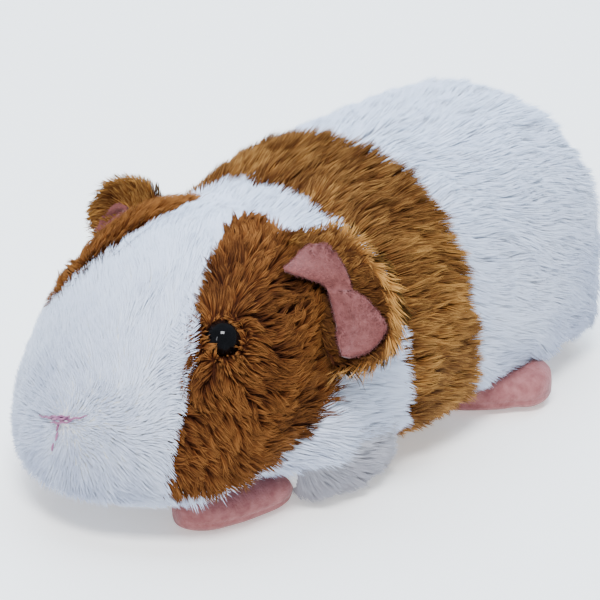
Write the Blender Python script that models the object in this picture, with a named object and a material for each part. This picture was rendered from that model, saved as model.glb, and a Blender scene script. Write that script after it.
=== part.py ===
"""A stuffed plush toy guinea pig, 0.20 m long, that lies flat on its belly.

Metres, +Z up, floor at z = 0, nose towards -Y, the toy's left side towards +X.
The plush cover is one sewn tube of four bands (head, neck, trunk and rump). Round it sit two
plush forelegs, velour forepaws and hind feet, folded ears with velour linings, black dome eyes
and a nose and mouth of embroidery thread. Every outline runs out to the tips of the pile.
"""

import math

import bmesh
import bpy
import numpy as np
from mathutils import Vector

MM = 0.001
GAP = 0.3 * MM  # left between pieces that touch

# The body's outline: (share of the length from the nose, half width, height of the back)
LENGTH = 198.5 * MM
BODY_MIDDLE = -1.5 * MM  # y of the middle of its length
STATIONS = (
    (0.00, 41.0 * MM, 53.0 * MM),
    (0.08, 44.5 * MM, 62.5 * MM),
    (0.20, 48.5 * MM, 71.0 * MM),
    (0.30, 52.0 * MM, 76.0 * MM),
    (0.40, 52.0 * MM, 73.0 * MM),
    (0.50, 51.5 * MM, 77.0 * MM),
    (0.62, 51.5 * MM, 80.5 * MM),
    (0.76, 51.0 * MM, 81.5 * MM),
    (0.90, 48.0 * MM, 80.0 * MM),
    (1.00, 43.5 * MM, 74.5 * MM),
)
CHIN_LIFT = ((0.0, 4.5 * MM), (0.12, 2.0 * MM), (0.30, 0.0), (1.0, 0.0))
# The widest level of each section, as a share of its height
WAIST_SHARE = ((0.0, 0.24), (0.30, 0.27), (0.60, 0.28), (1.0, 0.28))
POWER_ABOVE = ((0.0, 1.88), (0.2, 1.9), (0.5, 2.3), (0.8, 2.3), (1.0, 2.6))
POWER_BELOW = ((0.0, 2.2), (0.06, 2.0), (0.16, 1.4), (0.3, 1.45), (0.45, 2.2), (0.8, 2.7), (1.0, 2.7))
MUZZLE_ROUND = 0.24  # share of the length over which the muzzle rounds off
MUZZLE_POWER = 2.05
RUMP_ROUND = 0.16
RUMP_POWER = 3.2
BELLY_SINK = 1.0 * MM  # what the resting weight flattens off the belly
BODY_RINGS = 36
BODY_SIDES = 42

# Where the bands of plush are sewn together
HEAD_SEAM_TOP = (-16.5 * MM, 70.0 * MM)  # y and z of the seam behind the crown
HEAD_SEAM_LEAN = 0.85  # how far it runs forward for each unit down
NECK_CREASE_DEPTH = 3.5 * MM
NECK_CREASE_WIDTH = 7.0 * MM
NECK_HALF_WIDTH = 48.0 * MM
TRUNK_FRONT_Y = -11.5 * MM
RUMP_FRONT_Y = 16.5 * MM

# Limbs: (x, y, half width) down the middle of each, for the left side
FORELEG_LINE = (
    (38.0 * MM, -12.0 * MM, 10.5 * MM),
    (38.0 * MM, -30.0 * MM, 13.5 * MM),
    (31.0 * MM, -50.0 * MM, 12.0 * MM),
)
FORELEG_HEIGHT = 27.0 * MM
FOREPAW_LINE = (
    (31.0 * MM, -43.0 * MM, 9.5 * MM),
    (28.5 * MM, -60.0 * MM, 9.5 * MM),
    (24.0 * MM, -78.0 * MM, 7.5 * MM),
)
FOREPAW_HEIGHT = 12.0 * MM
WRIST_Y = -46.0 * MM
HIND_FOOT_LINE = (
    (26.0 * MM, 22.0 * MM, 9.0 * MM),
    (39.0 * MM, 36.5 * MM, 11.0 * MM),
    (51.0 * MM, 49.5 * MM, 10.0 * MM),
)
HIND_FOOT_HEIGHT = 13.5 * MM
LIMB_SINK = 0.6 * MM

# Ears: (x, y, z) of the top and low ends of the line along which one is sewn on, the leaf's direction
# at each, and how far it reaches; x counts outwards. The right ear's rim has flopped over.
EARS = {
    "left": (
        (20.0 * MM, -28.0 * MM, 68.0 * MM),
        (49.0 * MM, -40.0 * MM, 44.0 * MM),
        (0.73, 0.68, 0.05),
        (0.73, 0.68, 0.05),
        19.0 * MM,
    ),
    "right": (
        (26.5 * MM, -31.0 * MM, 65.5 * MM),
        (43.5 * MM, -36.8 * MM, 52.2 * MM),
        (0.68, 0.25, 0.42),
        (0.56, 0.04, 0.70),
        9.8 * MM,
    ),
}
EAR_CUP = 6.0 * MM
EAR_DISH = 10.0 * MM
EAR_ROOT = 3.0 * MM  # what reaches into the seam
EAR_THICKNESS = 5.5 * MM
LINING_THICKNESS = 1.2 * MM
LINING_MARGIN = 4.0 * MM
LINING_WAIST = 0.45  # how far the fold pinches the lining
LINING_WAIST_SHARE = 0.42
EAR_SPAN = (-0.02, 1.02)  # shares of the sewn line that each piece covers
LINING_SPAN = {"left": (0.08, 0.92), "right": (0.50, 0.92)}  # pile hides the top of the right one

# Face
EYE_SHARE = 0.183
EYE_ANGLE = {1.0: math.radians(49.0), -1.0: math.radians(47.0)}  # round the section, from straight out to the side
EYE_RADIUS = 4.7 * MM
EYE_PROUD = {1.0: 1.1 * MM, -1.0: 0.0}  # past the tips of the pile; the right eye sits deeper
NOSE_HEIGHT = 32.0 * MM
NOSE_HALF_WIDTH = 8.5 * MM
NOSE_RISE = 0.4 * MM  # of both ends above the middle
NOSE_TILT = 2.6 * MM  # of the left end above the middle, as it is sewn a little askew
MOUTH_LENGTH = 9.0 * MM
THREAD_RADIUS = 0.9 * MM


# ---- helpers ----

def clear_scene():
    for old in list(bpy.data.objects):
        bpy.data.objects.remove(old)


def make_material(name, colour, roughness):
    material = bpy.data.materials.new(name)
    material.use_nodes = True
    shader = material.node_tree.nodes["Principled BSDF"]
    shader.inputs["Base Color"].default_value = (*colour, 1.0)
    shader.inputs["Roughness"].default_value = roughness
    shader.inputs["Metallic"].default_value = 0.0
    material.diffuse_color = (*colour, 1.0)
    return material


def add_object(name, shape, material):
    """Puts a bmesh into a new named object and shades it smooth where it is round."""
    bmesh.ops.recalc_face_normals(shape, faces=shape.faces[:])
    mesh = bpy.data.meshes.new(name)
    shape.to_mesh(mesh)
    shape.free()
    mesh.shade_smooth()
    mesh.set_sharp_from_angle(angle=math.radians(40.0))
    mesh.materials.append(material)
    made = bpy.data.objects.new(name, mesh)
    bpy.context.scene.collection.objects.link(made)
    return made


def through(table, at):
    """A smooth curve through (share, value) pairs, level where they turn, read at the given shares."""
    shares, values = np.array(table, float).T
    step = np.diff(shares)
    chord = np.diff(values) / step
    slope = np.zeros(len(values))
    turning = chord[:-1] * chord[1:] <= 0.0
    safe = np.where(chord == 0.0, 1.0, chord)
    slope[1:-1] = np.where(turning, 0.0, 2.0 / (1.0 / safe[:-1] + 1.0 / safe[1:]))
    slope[0], slope[-1] = chord[0], chord[-1]
    k = np.clip(np.searchsorted(shares, at, side="right") - 1, 0, len(step) - 1)
    t = np.clip((at - shares[k]) / step[k], 0.0, 1.0)
    left = values[k] * (1.0 + 2.0 * t) + slope[k] * step[k] * t
    right = values[k + 1] * (3.0 - 2.0 * t) - slope[k + 1] * step[k] * (1.0 - t)
    return left * (1.0 - t) ** 2 + right * t**2


def rounding(distance, reach, power):
    """From 0 at an end to 1 at reach away from it, along a superellipse."""
    left = np.clip(1.0 - distance / reach, 0.0, 1.0)
    return (1.0 - left**power) ** (1.0 / power)


def superellipse(angle, power):
    """Cosine and sine of a superellipse at each angle."""
    cosine, sine = np.cos(angle), np.sin(angle)
    across = np.sign(cosine) * np.abs(cosine) ** (2.0 / power)
    up = np.sign(sine) * np.abs(sine) ** (2.0 / power)
    return across, up


def section(share):
    """Half width, middle level, rise above it, drop below it and the two powers at each share."""
    half_width = through([(at, wide) for at, wide, _ in STATIONS], share)
    back = through([(at, high) for at, _, high in STATIONS], share)
    chin = through(CHIN_LIFT, share)
    round_off = rounding(share, MUZZLE_ROUND, MUZZLE_POWER)
    round_off = round_off * rounding(1.0 - share, RUMP_ROUND, RUMP_POWER)
    middle = chin + through(WAIST_SHARE, share) * (back - chin)
    powers = through(POWER_ABOVE, share), through(POWER_BELOW, share)
    rise, drop = (back - middle) * round_off, (middle - chin) * round_off
    return half_width * round_off, middle, rise, drop, *powers


def body_points(share, angle, grow=0.0):
    """The plush body's surface: superellipses from the nose to the rump, with the neck crease."""
    half_width, middle, rise, drop, above, below = section(share)
    upper = np.sin(angle) > 0.0
    across, up = superellipse(angle, np.where(upper, above, below))
    x = (half_width + grow) * across
    z = middle + np.where(upper, rise + grow, drop + grow) * up - BELLY_SINK
    at_an_end = np.abs(share - 0.5) > 0.499
    y = BODY_MIDDLE + (share - 0.5) * LENGTH + grow * np.sign(share - 0.5) * at_an_end
    behind = y - HEAD_SEAM_TOP[0] + HEAD_SEAM_LEAN * (HEAD_SEAM_TOP[1] - z)
    behind = behind / math.hypot(1.0, HEAD_SEAM_LEAN)
    sideways = np.clip(np.abs(x) / (0.9 * np.maximum(half_width, MM)), 0.0, 1.0) ** 2
    crease = sideways * np.exp(-((behind / NECK_CREASE_WIDTH) ** 2))
    pinch = 1.0 - NECK_CREASE_DEPTH / NECK_HALF_WIDTH * crease
    return np.stack([x * pinch, y + 0.0 * x, z], axis=-1)


def ring_mesh(rings):
    """A closed bmesh through rings of points, with each end drawn together in one face."""
    shape = bmesh.new()
    rows = [[shape.verts.new(point) for point in ring] for ring in rings]
    count = len(rows[0])
    for first, second in zip(rows, rows[1:]):
        for k in range(count):
            after = (k + 1) % count
            shape.faces.new((first[k], first[after], second[after], second[k]))
    shape.faces.new(rows[0])
    shape.faces.new(reversed(rows[-1]))
    bmesh.ops.triangulate(shape, faces=shape.faces[:], quad_method="FIXED")
    return shape


def cut_away(shape, point, outward):
    """Cuts off what lies beyond a plane and closes the cut with a flat face."""
    geometry = shape.verts[:] + shape.edges[:] + shape.faces[:]
    cut = bmesh.ops.bisect_plane(
        shape, geom=geometry, dist=1e-7, plane_co=point, plane_no=outward, clear_outer=True
    )
    rim = [item for item in cut["geom_cut"] if isinstance(item, bmesh.types.BMEdge)]
    bmesh.ops.edgeloop_fill(shape, edges=rim)


def body_mesh(grow=0.0):
    bend = np.linspace(0.06, math.pi - 0.06, BODY_RINGS)
    shares = (1.0 - np.cos(bend)) / 2.0
    angles = np.linspace(0.0, 2.0 * math.pi, BODY_SIDES, endpoint=False)
    return ring_mesh(body_points(shares[:, None], angles[None, :], grow))


def hidden_cutter(name, shape):
    cutter = add_object(name, shape, PLAIN)
    cutter.hide_render = True
    cutter.display_type = "WIRE"
    return cutter


def subtract(made, cutter):
    modifier = made.modifiers.new(cutter.name, "BOOLEAN")
    modifier.operation = "DIFFERENCE"
    modifier.solver = "EXACT"
    modifier.object = cutter


# ---- plush body ----

def head_seam_plane(offset):
    """A point of the slanting plane behind the head, and its direction towards the rump."""
    outward = Vector((0.0, 1.0, -HEAD_SEAM_LEAN)).normalized()
    return Vector((0.0, *HEAD_SEAM_TOP)) + offset * outward, outward


def make_band(name, material, front=None, rear=None):
    """One sewn band of the body, between two planes given as (point, direction)."""
    shape = body_mesh()
    cut_away(shape, (0.0, 0.0, 0.0), (0.0, 0.0, -1.0))
    if front:
        cut_away(shape, front[0], front[1])
    if rear:
        cut_away(shape, rear[0], rear[1])
    return add_object(name, shape, material)


def make_body():
    half = GAP / 2.0
    seam, outward = head_seam_plane(0.0)
    ahead, back = Vector((0.0, -1.0, 0.0)), Vector((0.0, 1.0, 0.0))
    trunk_front = Vector((0.0, TRUNK_FRONT_Y, 0.0))
    rump_front = Vector((0.0, RUMP_FRONT_Y, 0.0))
    head = make_band("head", WHITE, rear=(seam - half * outward, outward))
    make_band("neck", WHITE, (seam + half * outward, -outward), (trunk_front - half * back, back))
    make_band("trunk", BROWN, (trunk_front + half * back, ahead), (rump_front - half * back, back))
    make_band("rump", WHITE, front=(rump_front + half * back, ahead))
    return head


# ---- limbs ----

def limb_mesh(line, height, side, grow=0.0, rings=12, around=16):
    """A rounded roll that lies on the floor along a line of (x, y, half width), flattened below."""
    shares = (1.0 - np.cos(np.linspace(0.08, math.pi - 0.08, rings))) / 2.0
    steps = np.linspace(0.0, 1.0, len(line))
    tables = [np.column_stack([steps, column]) for column in np.array(line).T]
    x, y, half_width = (through(table, shares) for table in tables)
    ends = rounding(shares, 0.3, 2.2) * rounding(1.0 - shares, 0.3, 2.2)
    along = np.stack([np.gradient(x), np.gradient(y)], axis=-1)
    along /= np.linalg.norm(along, axis=-1, keepdims=True)
    angle = np.linspace(0.0, 2.0 * math.pi, around, endpoint=False)
    across, up = superellipse(angle, 2.4)
    wide = (half_width * ends + grow)[:, None] * across
    level = height / 2.0 - LIMB_SINK + (height / 2.0 * (0.35 + 0.65 * ends) + grow)[:, None] * up
    outwards = side * (x[:, None] - along[:, 1:] * wide)
    forwards = y[:, None] + along[:, :1] * wide
    shape = ring_mesh(np.stack([outwards, forwards, level], axis=-1))
    bmesh.ops.recalc_face_normals(shape, faces=shape.faces[:])
    return shape


def make_limb(name, material, line, height, side, cutter, keep=None):
    shape = limb_mesh(line, height, side)
    cut_away(shape, (0.0, 0.0, 0.0), (0.0, 0.0, -1.0))
    if keep:
        cut_away(shape, keep[0], keep[1])
    made = add_object(name, shape, material)
    subtract(made, cutter)


def make_limbs(side_name, side, cutter):
    half = Vector((0.0, GAP / 2.0, 0.0))
    wrist = Vector((0.0, WRIST_Y, 0.0))
    above_wrist = (wrist + half, (0.0, -1.0, 0.0))
    below_wrist = (wrist - half, (0.0, 1.0, 0.0))
    make_limb("foreleg_" + side_name, WHITE, FORELEG_LINE, FORELEG_HEIGHT, side, cutter, above_wrist)
    make_limb("forepaw_" + side_name, VELOUR, FOREPAW_LINE, FOREPAW_HEIGHT, side, cutter, below_wrist)
    make_limb("hind_foot_" + side_name, VELOUR, HIND_FOOT_LINE, HIND_FOOT_HEIGHT, side, cutter)


# ---- ears ----

def ear_grid(name, material, ear, side, span, reach, rise, thickness):
    """A cupped leaf: lines reaching from the sewn seam to a round rim, given thickness by a modifier."""
    top, low, leaf_top, leaf_low = (Vector(item) for item in ear[:4])
    full = ear[4]
    columns, rows = 15, 7
    shape = bmesh.new()
    grid = []
    for i in range(columns):
        share = span[0] + (span[1] - span[0]) * i / (columns - 1)
        leaf = leaf_top.lerp(leaf_low, min(max(share, 0.0), 1.0)).normalized()
        face = (low - top).cross(leaf).normalized()
        line = []
        for j in range(rows):
            out = (reach(share, full) + EAR_ROOT) * j / (rows - 1) - EAR_ROOT
            cup = EAR_CUP * out * abs(out) / full**2 + EAR_DISH * (share - 0.5) ** 2 + rise
            point = top + (low - top) * share + leaf * out + face * cup
            line.append(shape.verts.new((side * point.x, point.y, point.z)))
        grid.append(line)
    for first, second in zip(grid, grid[1:]):
        for j in range(rows - 1):
            corners = (first[j], second[j], second[j + 1], first[j + 1])
            shape.faces.new(corners if side > 0 else corners[::-1])
    mesh = bpy.data.meshes.new(name)
    shape.to_mesh(mesh)
    shape.free()
    mesh.materials.append(material)
    made = bpy.data.objects.new(name, mesh)
    bpy.context.scene.collection.objects.link(made)
    solidify = made.modifiers.new("thickness", "SOLIDIFY")
    solidify.thickness = abs(thickness)
    solidify.offset = math.copysign(1.0, thickness)
    return made


def ear_rim(share, full):
    """How far the leaf reaches at each share down the sewn line."""
    return full * max(1.0 - (2.0 * share - 1.0) ** 2, 0.0) ** 0.45 + 2.0 * MM


def lining_rim(share, full):
    """The lining stops inside the rim and is pinched by the fold in the middle."""
    waist = 1.0 - LINING_WAIST * math.exp(-(((share - LINING_WAIST_SHARE) / 0.12) ** 2))
    return (ear_rim(share, full) - LINING_MARGIN) * waist


def make_ears(side_name, side, cutter):
    shape = EARS[side_name]
    plush = ear_grid("ear_" + side_name, BROWN, shape, side, EAR_SPAN, ear_rim, 0.0, -EAR_THICKNESS)
    lining_name = "ear_lining_" + side_name
    lining = ear_grid(
        lining_name, VELOUR, shape, side, LINING_SPAN[side_name], lining_rim, GAP, LINING_THICKNESS
    )
    subtract(plush, cutter)
    subtract(lining, cutter)


# ---- face ----

def eye_mesh(side, grow=0.0):
    angle = EYE_ANGLE[side] if side > 0 else math.pi - EYE_ANGLE[side]
    spot = Vector(body_points(np.array(EYE_SHARE), np.array(angle)))
    step = 0.01
    along = Vector(body_points(np.array(EYE_SHARE + step), np.array(angle))) - spot
    around = Vector(body_points(np.array(EYE_SHARE), np.array(angle + step))) - spot
    outward = around.cross(along).normalized()
    if outward.x * side < 0.0:
        outward = -outward
    shape = bmesh.new()
    bmesh.ops.create_uvsphere(shape, u_segments=18, v_segments=10, radius=EYE_RADIUS + grow)
    bmesh.ops.translate(shape, verts=shape.verts[:], vec=spot + outward * (EYE_PROUD[side] - EYE_RADIUS))
    return shape


def muzzle_y(x, z):
    """How far forward the muzzle stands at each x and z, found by halving steps along the body."""
    near, far = np.full_like(x, 0.0005), np.full_like(x, MUZZLE_ROUND)
    for _ in range(40):
        middle_share = (near + far) / 2.0
        half_width, middle, rise, drop, above, below = section(middle_share)
        level = z + BELLY_SINK - middle
        power = np.where(level > 0.0, above, below)
        span = np.where(level > 0.0, rise, drop)
        reach = np.abs(x / half_width) ** power + np.abs(level / span) ** power
        outside = reach > 1.0
        near = np.where(outside, middle_share, near)
        far = np.where(outside, far, middle_share)
    return BODY_MIDDLE + ((near + far) / 2.0 - 0.5) * LENGTH


def thread_mesh(x, z, radius, around=6):
    """A round thread along the muzzle through the given x and z, half sunk in the plush."""
    path = np.stack([x, muzzle_y(x, z), z], axis=-1)
    along = np.gradient(path, axis=0)
    along /= np.linalg.norm(along, axis=1, keepdims=True)
    side = np.cross(along, [0.0, -1.0, 0.0])
    side /= np.linalg.norm(side, axis=1, keepdims=True)
    front = np.cross(side, along)
    angle = np.linspace(0.0, 2.0 * math.pi, around, endpoint=False)[None, :, None]
    share = np.linspace(0.02, 0.98, len(x))
    taper = rounding(share, 0.2, 2.0) * rounding(1.0 - share, 0.2, 2.0)
    ring = np.cos(angle) * side[:, None, :] + np.sin(angle) * front[:, None, :]
    shape = ring_mesh(path[:, None, :] + radius * taper[:, None, None] * ring)
    bmesh.ops.recalc_face_normals(shape, faces=shape.faces[:])
    return shape


def make_face(head):
    for side_name, side in SIDES:
        add_object("eye_" + side_name, eye_mesh(side), BLACK)
        subtract(head, hidden_cutter("eye_socket_" + side_name, eye_mesh(side, GAP)))
    share = np.linspace(-1.0, 1.0, 15)
    nose_x = NOSE_HALF_WIDTH * share
    nose_z = NOSE_HEIGHT + NOSE_RISE * share**2 + NOSE_TILT * share
    drop = np.linspace(0.0, 1.0, 9)
    mouth_x = np.zeros_like(drop)
    mouth_z = NOSE_HEIGHT - 2.0 * THREAD_RADIUS - 2.0 * GAP - MOUTH_LENGTH * drop
    threads = (("nose_stitching", nose_x, nose_z), ("mouth_stitching", mouth_x, mouth_z))
    for name, x, z in threads:
        add_object(name, thread_mesh(x, z, THREAD_RADIUS), THREAD)
        subtract(head, hidden_cutter(name + "_groove", thread_mesh(x, z, THREAD_RADIUS + GAP)))


# ---- build ----

SIDES = (("left", 1.0), ("right", -1.0))
clear_scene()
PLAIN = make_material("plain", (0.5, 0.5, 0.5), 0.9)
WHITE = make_material("white_plush", (0.80, 0.82, 0.86), 0.95)
BROWN = make_material("brown_plush", (0.33, 0.16, 0.07), 0.95)
VELOUR = make_material("pink_velour", (0.62, 0.33, 0.31), 0.85)
BLACK = make_material("black_eye", (0.005, 0.005, 0.006), 0.08)
THREAD = make_material("pink_thread", (0.72, 0.30, 0.45), 0.6)
BODY_CUTTER = hidden_cutter("body_cutter", body_mesh(GAP))
make_face(make_body())
for SIDE_NAME, SIDE in SIDES:
    make_limbs(SIDE_NAME, SIDE, BODY_CUTTER)
    make_ears(SIDE_NAME, SIDE, BODY_CUTTER)
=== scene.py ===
# %% [markdown]
# # A stuffed plush guinea pig
# The real toy is a sewn tube of long-pile plush, white with a brown saddle and brown cheeks, with folded
# ears, short pink velour feet, dome eyes and a nose of embroidery thread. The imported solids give
# its size and its outline, out to the tips of the pile. This script dresses them: a skin of
# backing cloth a few millimetres inside them, and a pile of thin solid tufts that grows from it.

# %% Load the frame
import math
from collections import namedtuple

import bpy
import numpy as np
from mathutils import Matrix, Vector


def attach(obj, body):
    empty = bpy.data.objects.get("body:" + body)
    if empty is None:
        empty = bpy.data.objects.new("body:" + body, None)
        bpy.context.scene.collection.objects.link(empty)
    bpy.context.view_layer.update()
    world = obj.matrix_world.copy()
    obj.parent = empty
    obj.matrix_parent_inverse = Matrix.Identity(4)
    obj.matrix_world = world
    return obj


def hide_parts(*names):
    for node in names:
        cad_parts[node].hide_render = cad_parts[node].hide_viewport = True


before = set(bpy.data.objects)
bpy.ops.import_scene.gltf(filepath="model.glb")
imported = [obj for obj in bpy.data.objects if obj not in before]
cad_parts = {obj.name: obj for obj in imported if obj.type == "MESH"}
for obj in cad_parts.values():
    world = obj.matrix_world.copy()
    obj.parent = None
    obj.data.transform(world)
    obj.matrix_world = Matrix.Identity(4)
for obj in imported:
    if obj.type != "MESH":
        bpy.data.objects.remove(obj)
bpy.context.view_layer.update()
MM = 0.001
SIDES = (("left", 1.0), ("right", -1.0))

# %% [markdown]
# ## Camera
# A long lens looks down on the toy from in front of its left cheek. A camera can be turned by hand until its
# view looks right. Here its two angles are given and its axes worked out as three unit vectors, so
# that the same function also aims the lights.

# %% Camera
VIEW_AZIMUTH = math.radians(42.37)
VIEW_ELEVATION = math.radians(25.33)
VIEW_TARGET = Vector((-0.00452, 0.0020, 0.03057))
VIEW_DISTANCE = 0.70
VIEW_ANGLE = math.radians(14.03)
SENSOR_WIDTH = 36.0


def looking_matrix(azimuth, elevation, target, distance):
    """Matrix of something that looks at the target from a distance: ahead along the two angles, right level
    with the floor, and up square to both."""
    level = math.cos(elevation)
    ahead = Vector((-math.sin(azimuth) * level, math.cos(azimuth) * level, -math.sin(elevation)))
    right = Vector((math.cos(azimuth), math.sin(azimuth), 0.0))
    axes = Matrix((right, right.cross(ahead), -ahead)).transposed().to_4x4()
    return Matrix.Translation(target - distance * ahead) @ axes


camera_data = bpy.data.cameras.new("camera")
camera_data.sensor_width = SENSOR_WIDTH
camera_data.lens = SENSOR_WIDTH / 2.0 / math.tan(VIEW_ANGLE / 2.0)
camera = bpy.data.objects.new("camera", camera_data)
bpy.context.scene.collection.objects.link(camera)
camera.matrix_world = looking_matrix(VIEW_AZIMUTH, VIEW_ELEVATION, VIEW_TARGET, VIEW_DISTANCE)
bpy.context.scene.camera = camera
print("lens", round(camera_data.lens, 1), "mm")

# %% [markdown]
# ## Floor and light
# White plush looks white only while its shade stays pale. One strong lamp would be simpler, but the far side
# of the pile would turn grey, so light comes from all round: a small softbox high over the camera,
# which also puts the gleam in the eyes, a weak strip in front of the nose, a broad bluish softbox above
# and behind, and a low one behind that lights the outline of the back. A pale sky fills the rest,
# and the floor glows a little. The floor and the two softboxes behind are kept out of
# reflections, so that the eyes stay black.

# %% Floor and light
FLOOR_REACH, FLOOR_GLOW = 6.0, 0.5
FLOOR_COLOUR = (0.97, 0.94, 0.90, 1.0)
SKY_COLOUR, SKY_STRENGTH = (0.84, 0.92, 1.0, 1.0), 0.5
LIGHT_TARGET = Vector((0.0, 0.0, 0.04))
# Name, azimuth and elevation in degrees, distance, width and height in metres, watts, colour, reflected.
SOFTBOXES = (
    ("main_softbox", 40.0, 62.0, 1.2, 0.44, 0.34, 21.0, (0.95, 0.97, 1.0), True),
    ("left_strip", 4.0, 20.0, 1.3, 0.12, 0.5, 2.4, (0.9, 0.95, 1.0), True),
    ("top_softbox", 214.0, 62.0, 1.8, 2.4, 2.0, 88.0, (0.58, 0.78, 1.0), False),
    ("back_softbox", 222.0, 18.0, 2.0, 1.6, 1.2, 34.0, (1.0, 0.96, 0.92), False),
)


def add_floor():
    """A wide pale square at height zero, which gives off a little light of its own."""
    corners = np.array([(-1, -1, 0), (1, -1, 0), (1, 1, 0), (-1, 1, 0)]) * FLOOR_REACH
    mesh = bpy.data.meshes.new("floor")
    mesh.from_pydata(corners.tolist(), [], [(0, 1, 2, 3)])
    material = bpy.data.materials.new("pale_floor")
    material.use_nodes = True
    shader = material.node_tree.nodes["Principled BSDF"]
    shader.inputs["Base Color"].default_value = FLOOR_COLOUR
    shader.inputs["Emission Color"].default_value = (1.0, 1.0, 1.0, 1.0)
    shader.inputs["Emission Strength"].default_value = FLOOR_GLOW
    shader.inputs["Roughness"].default_value = 0.9
    mesh.materials.append(material)
    floor = bpy.data.objects.new("floor", mesh)
    bpy.context.scene.collection.objects.link(floor)
    floor.visible_glossy = False


def add_softbox(name, azimuth, elevation, distance, width, height, power, colour, reflected):
    """An area light that looks at the toy along the two angles."""
    data = bpy.data.lights.new(name, "AREA")
    data.shape = "RECTANGLE"
    data.size, data.size_y = width, height
    data.energy = power
    data.color = colour
    light = bpy.data.objects.new(name, data)
    bpy.context.scene.collection.objects.link(light)
    azimuth, elevation = math.radians(azimuth), math.radians(elevation)
    light.matrix_world = looking_matrix(azimuth, elevation, LIGHT_TARGET, distance)
    light.visible_glossy = reflected


add_floor()
for softbox in SOFTBOXES:
    add_softbox(*softbox)
world = bpy.data.worlds.new("sky")
world.use_nodes = True
background = world.node_tree.nodes["Background"]
background.inputs["Color"].default_value = SKY_COLOUR
background.inputs["Strength"].default_value = SKY_STRENGTH
bpy.context.scene.world = world
print("softboxes", [softbox[0] for softbox in SOFTBOXES])

# %% [markdown]
# ## The numbers of the body
# The sewn tube is one surface of two parameters: the share of the length from the nose, and the angle round
# the section. Each section is a superellipse whose width, height and squareness change along the
# toy. These are the numbers that the solids were made from, so the skin lies exactly inside them.

# %% Numbers of the body
LENGTH = 198.5 * MM
BODY_MIDDLE = -1.5 * MM
# Share of the length, half width and height of the back, the last two in millimetres.
STATIONS = (
    (0.00, 41.0, 53.0),
    (0.08, 44.5, 62.5),
    (0.20, 48.5, 71.0),
    (0.30, 52.0, 76.0),
    (0.40, 52.0, 73.0),
    (0.50, 51.5, 77.0),
    (0.62, 51.5, 80.5),
    (0.76, 51.0, 81.5),
    (0.90, 48.0, 80.0),
    (1.00, 43.5, 74.5),
)
HALF_WIDTHS = [(at, wide * MM) for at, wide, _ in STATIONS]
BACK_HEIGHTS = [(at, high * MM) for at, _, high in STATIONS]
CHIN_LIFT = ((0.0, 4.5 * MM), (0.12, 2.0 * MM), (0.30, 0.0), (1.0, 0.0))
WAIST_SHARE = ((0.0, 0.24), (0.30, 0.27), (0.60, 0.28), (1.0, 0.28))
POWER_ABOVE = ((0.0, 1.88), (0.2, 1.9), (0.5, 2.3), (0.8, 2.3), (1.0, 2.6))
POWER_BELOW = ((0.0, 2.2), (0.06, 2.0), (0.16, 1.4), (0.3, 1.45), (0.45, 2.2), (0.8, 2.7), (1.0, 2.7))
MUZZLE_ROUND, MUZZLE_POWER = 0.24, 2.05
RUMP_ROUND, RUMP_POWER = 0.16, 3.2
BELLY_SINK = 1.0 * MM
HEAD_SEAM_Y, HEAD_SEAM_Z, HEAD_SEAM_LEAN = -16.5 * MM, 70.0 * MM, 0.85
NECK_CREASE_DEPTH, NECK_CREASE_WIDTH, NECK_HALF_WIDTH = 3.5 * MM, 7.0 * MM, 48.0 * MM
SADDLE_FRONT_Y, SADDLE_REAR_Y = -14.5 * MM, 13.5 * MM
print("a body", round(LENGTH / MM, 1), "mm long and", 2.0 * max(row[1] for row in STATIONS), "mm wide")

# %% [markdown]
# ## Curves
# Stuffed cloth has no corners, so every number above has to change smoothly along the toy. Blender's own
# curves could do this, but three short formulas work on whole arrays: a curve through a table, the
# rounding of an end, and the superellipse, which is a circle for the power 2 and squarer above it.

# %% Curves


def through(table, at):
    """A smooth curve through (share, value) pairs, level where they turn, read at the given shares."""
    shares, values = np.array(table, float).T
    step = np.diff(shares)
    chord = np.diff(values) / step
    slope = np.zeros(len(values))
    turning = chord[:-1] * chord[1:] <= 0.0
    safe = np.where(chord == 0.0, 1.0, chord)
    slope[1:-1] = np.where(turning, 0.0, 2.0 / (1.0 / safe[:-1] + 1.0 / safe[1:]))
    slope[0], slope[-1] = chord[0], chord[-1]
    k = np.clip(np.searchsorted(shares, at, side="right") - 1, 0, len(step) - 1)
    t = np.clip((at - shares[k]) / step[k], 0.0, 1.0)
    left = values[k] * (1.0 + 2.0 * t) + slope[k] * step[k] * t
    right = values[k + 1] * (3.0 - 2.0 * t) - slope[k + 1] * step[k] * (1.0 - t)
    return left * (1.0 - t) ** 2 + right * t**2


def rounding(distance, reach, power):
    """From 0 at an end to 1 at reach away from it: (1 - (1 - distance / reach)^power)^(1 / power)."""
    left = np.clip(1.0 - distance / reach, 0.0, 1.0)
    return (1.0 - left**power) ** (1.0 / power)


def superellipse(angle, power):
    """Cosine and sine of the angle, each raised to 2 / power with its sign kept."""
    cosine, sine = np.cos(angle), np.sin(angle)
    across = np.sign(cosine) * np.abs(cosine) ** (2.0 / power)
    up = np.sign(sine) * np.abs(sine) ** (2.0 / power)
    return across, up


quarter_height = through(BACK_HEIGHTS, np.array([0.25])) / MM
print("a quarter of the way along, the back is", quarter_height.round(1), "mm high")

# %% [markdown]
# ## The body as one surface
# Curve objects could carry the sections along the toy. Arrays are exact and quick instead: each section is
# drawn as a superellipse, and small steps along and round the surface give the direction that
# points out of it, in which the pile stands.

# %% Surface of the body
NECK_CREASE_SIDE = 0.9
SHARE_STEP, ANGLE_STEP = 0.001, 0.01
INSIDE_ENDS = (0.0002, 0.9998)


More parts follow.
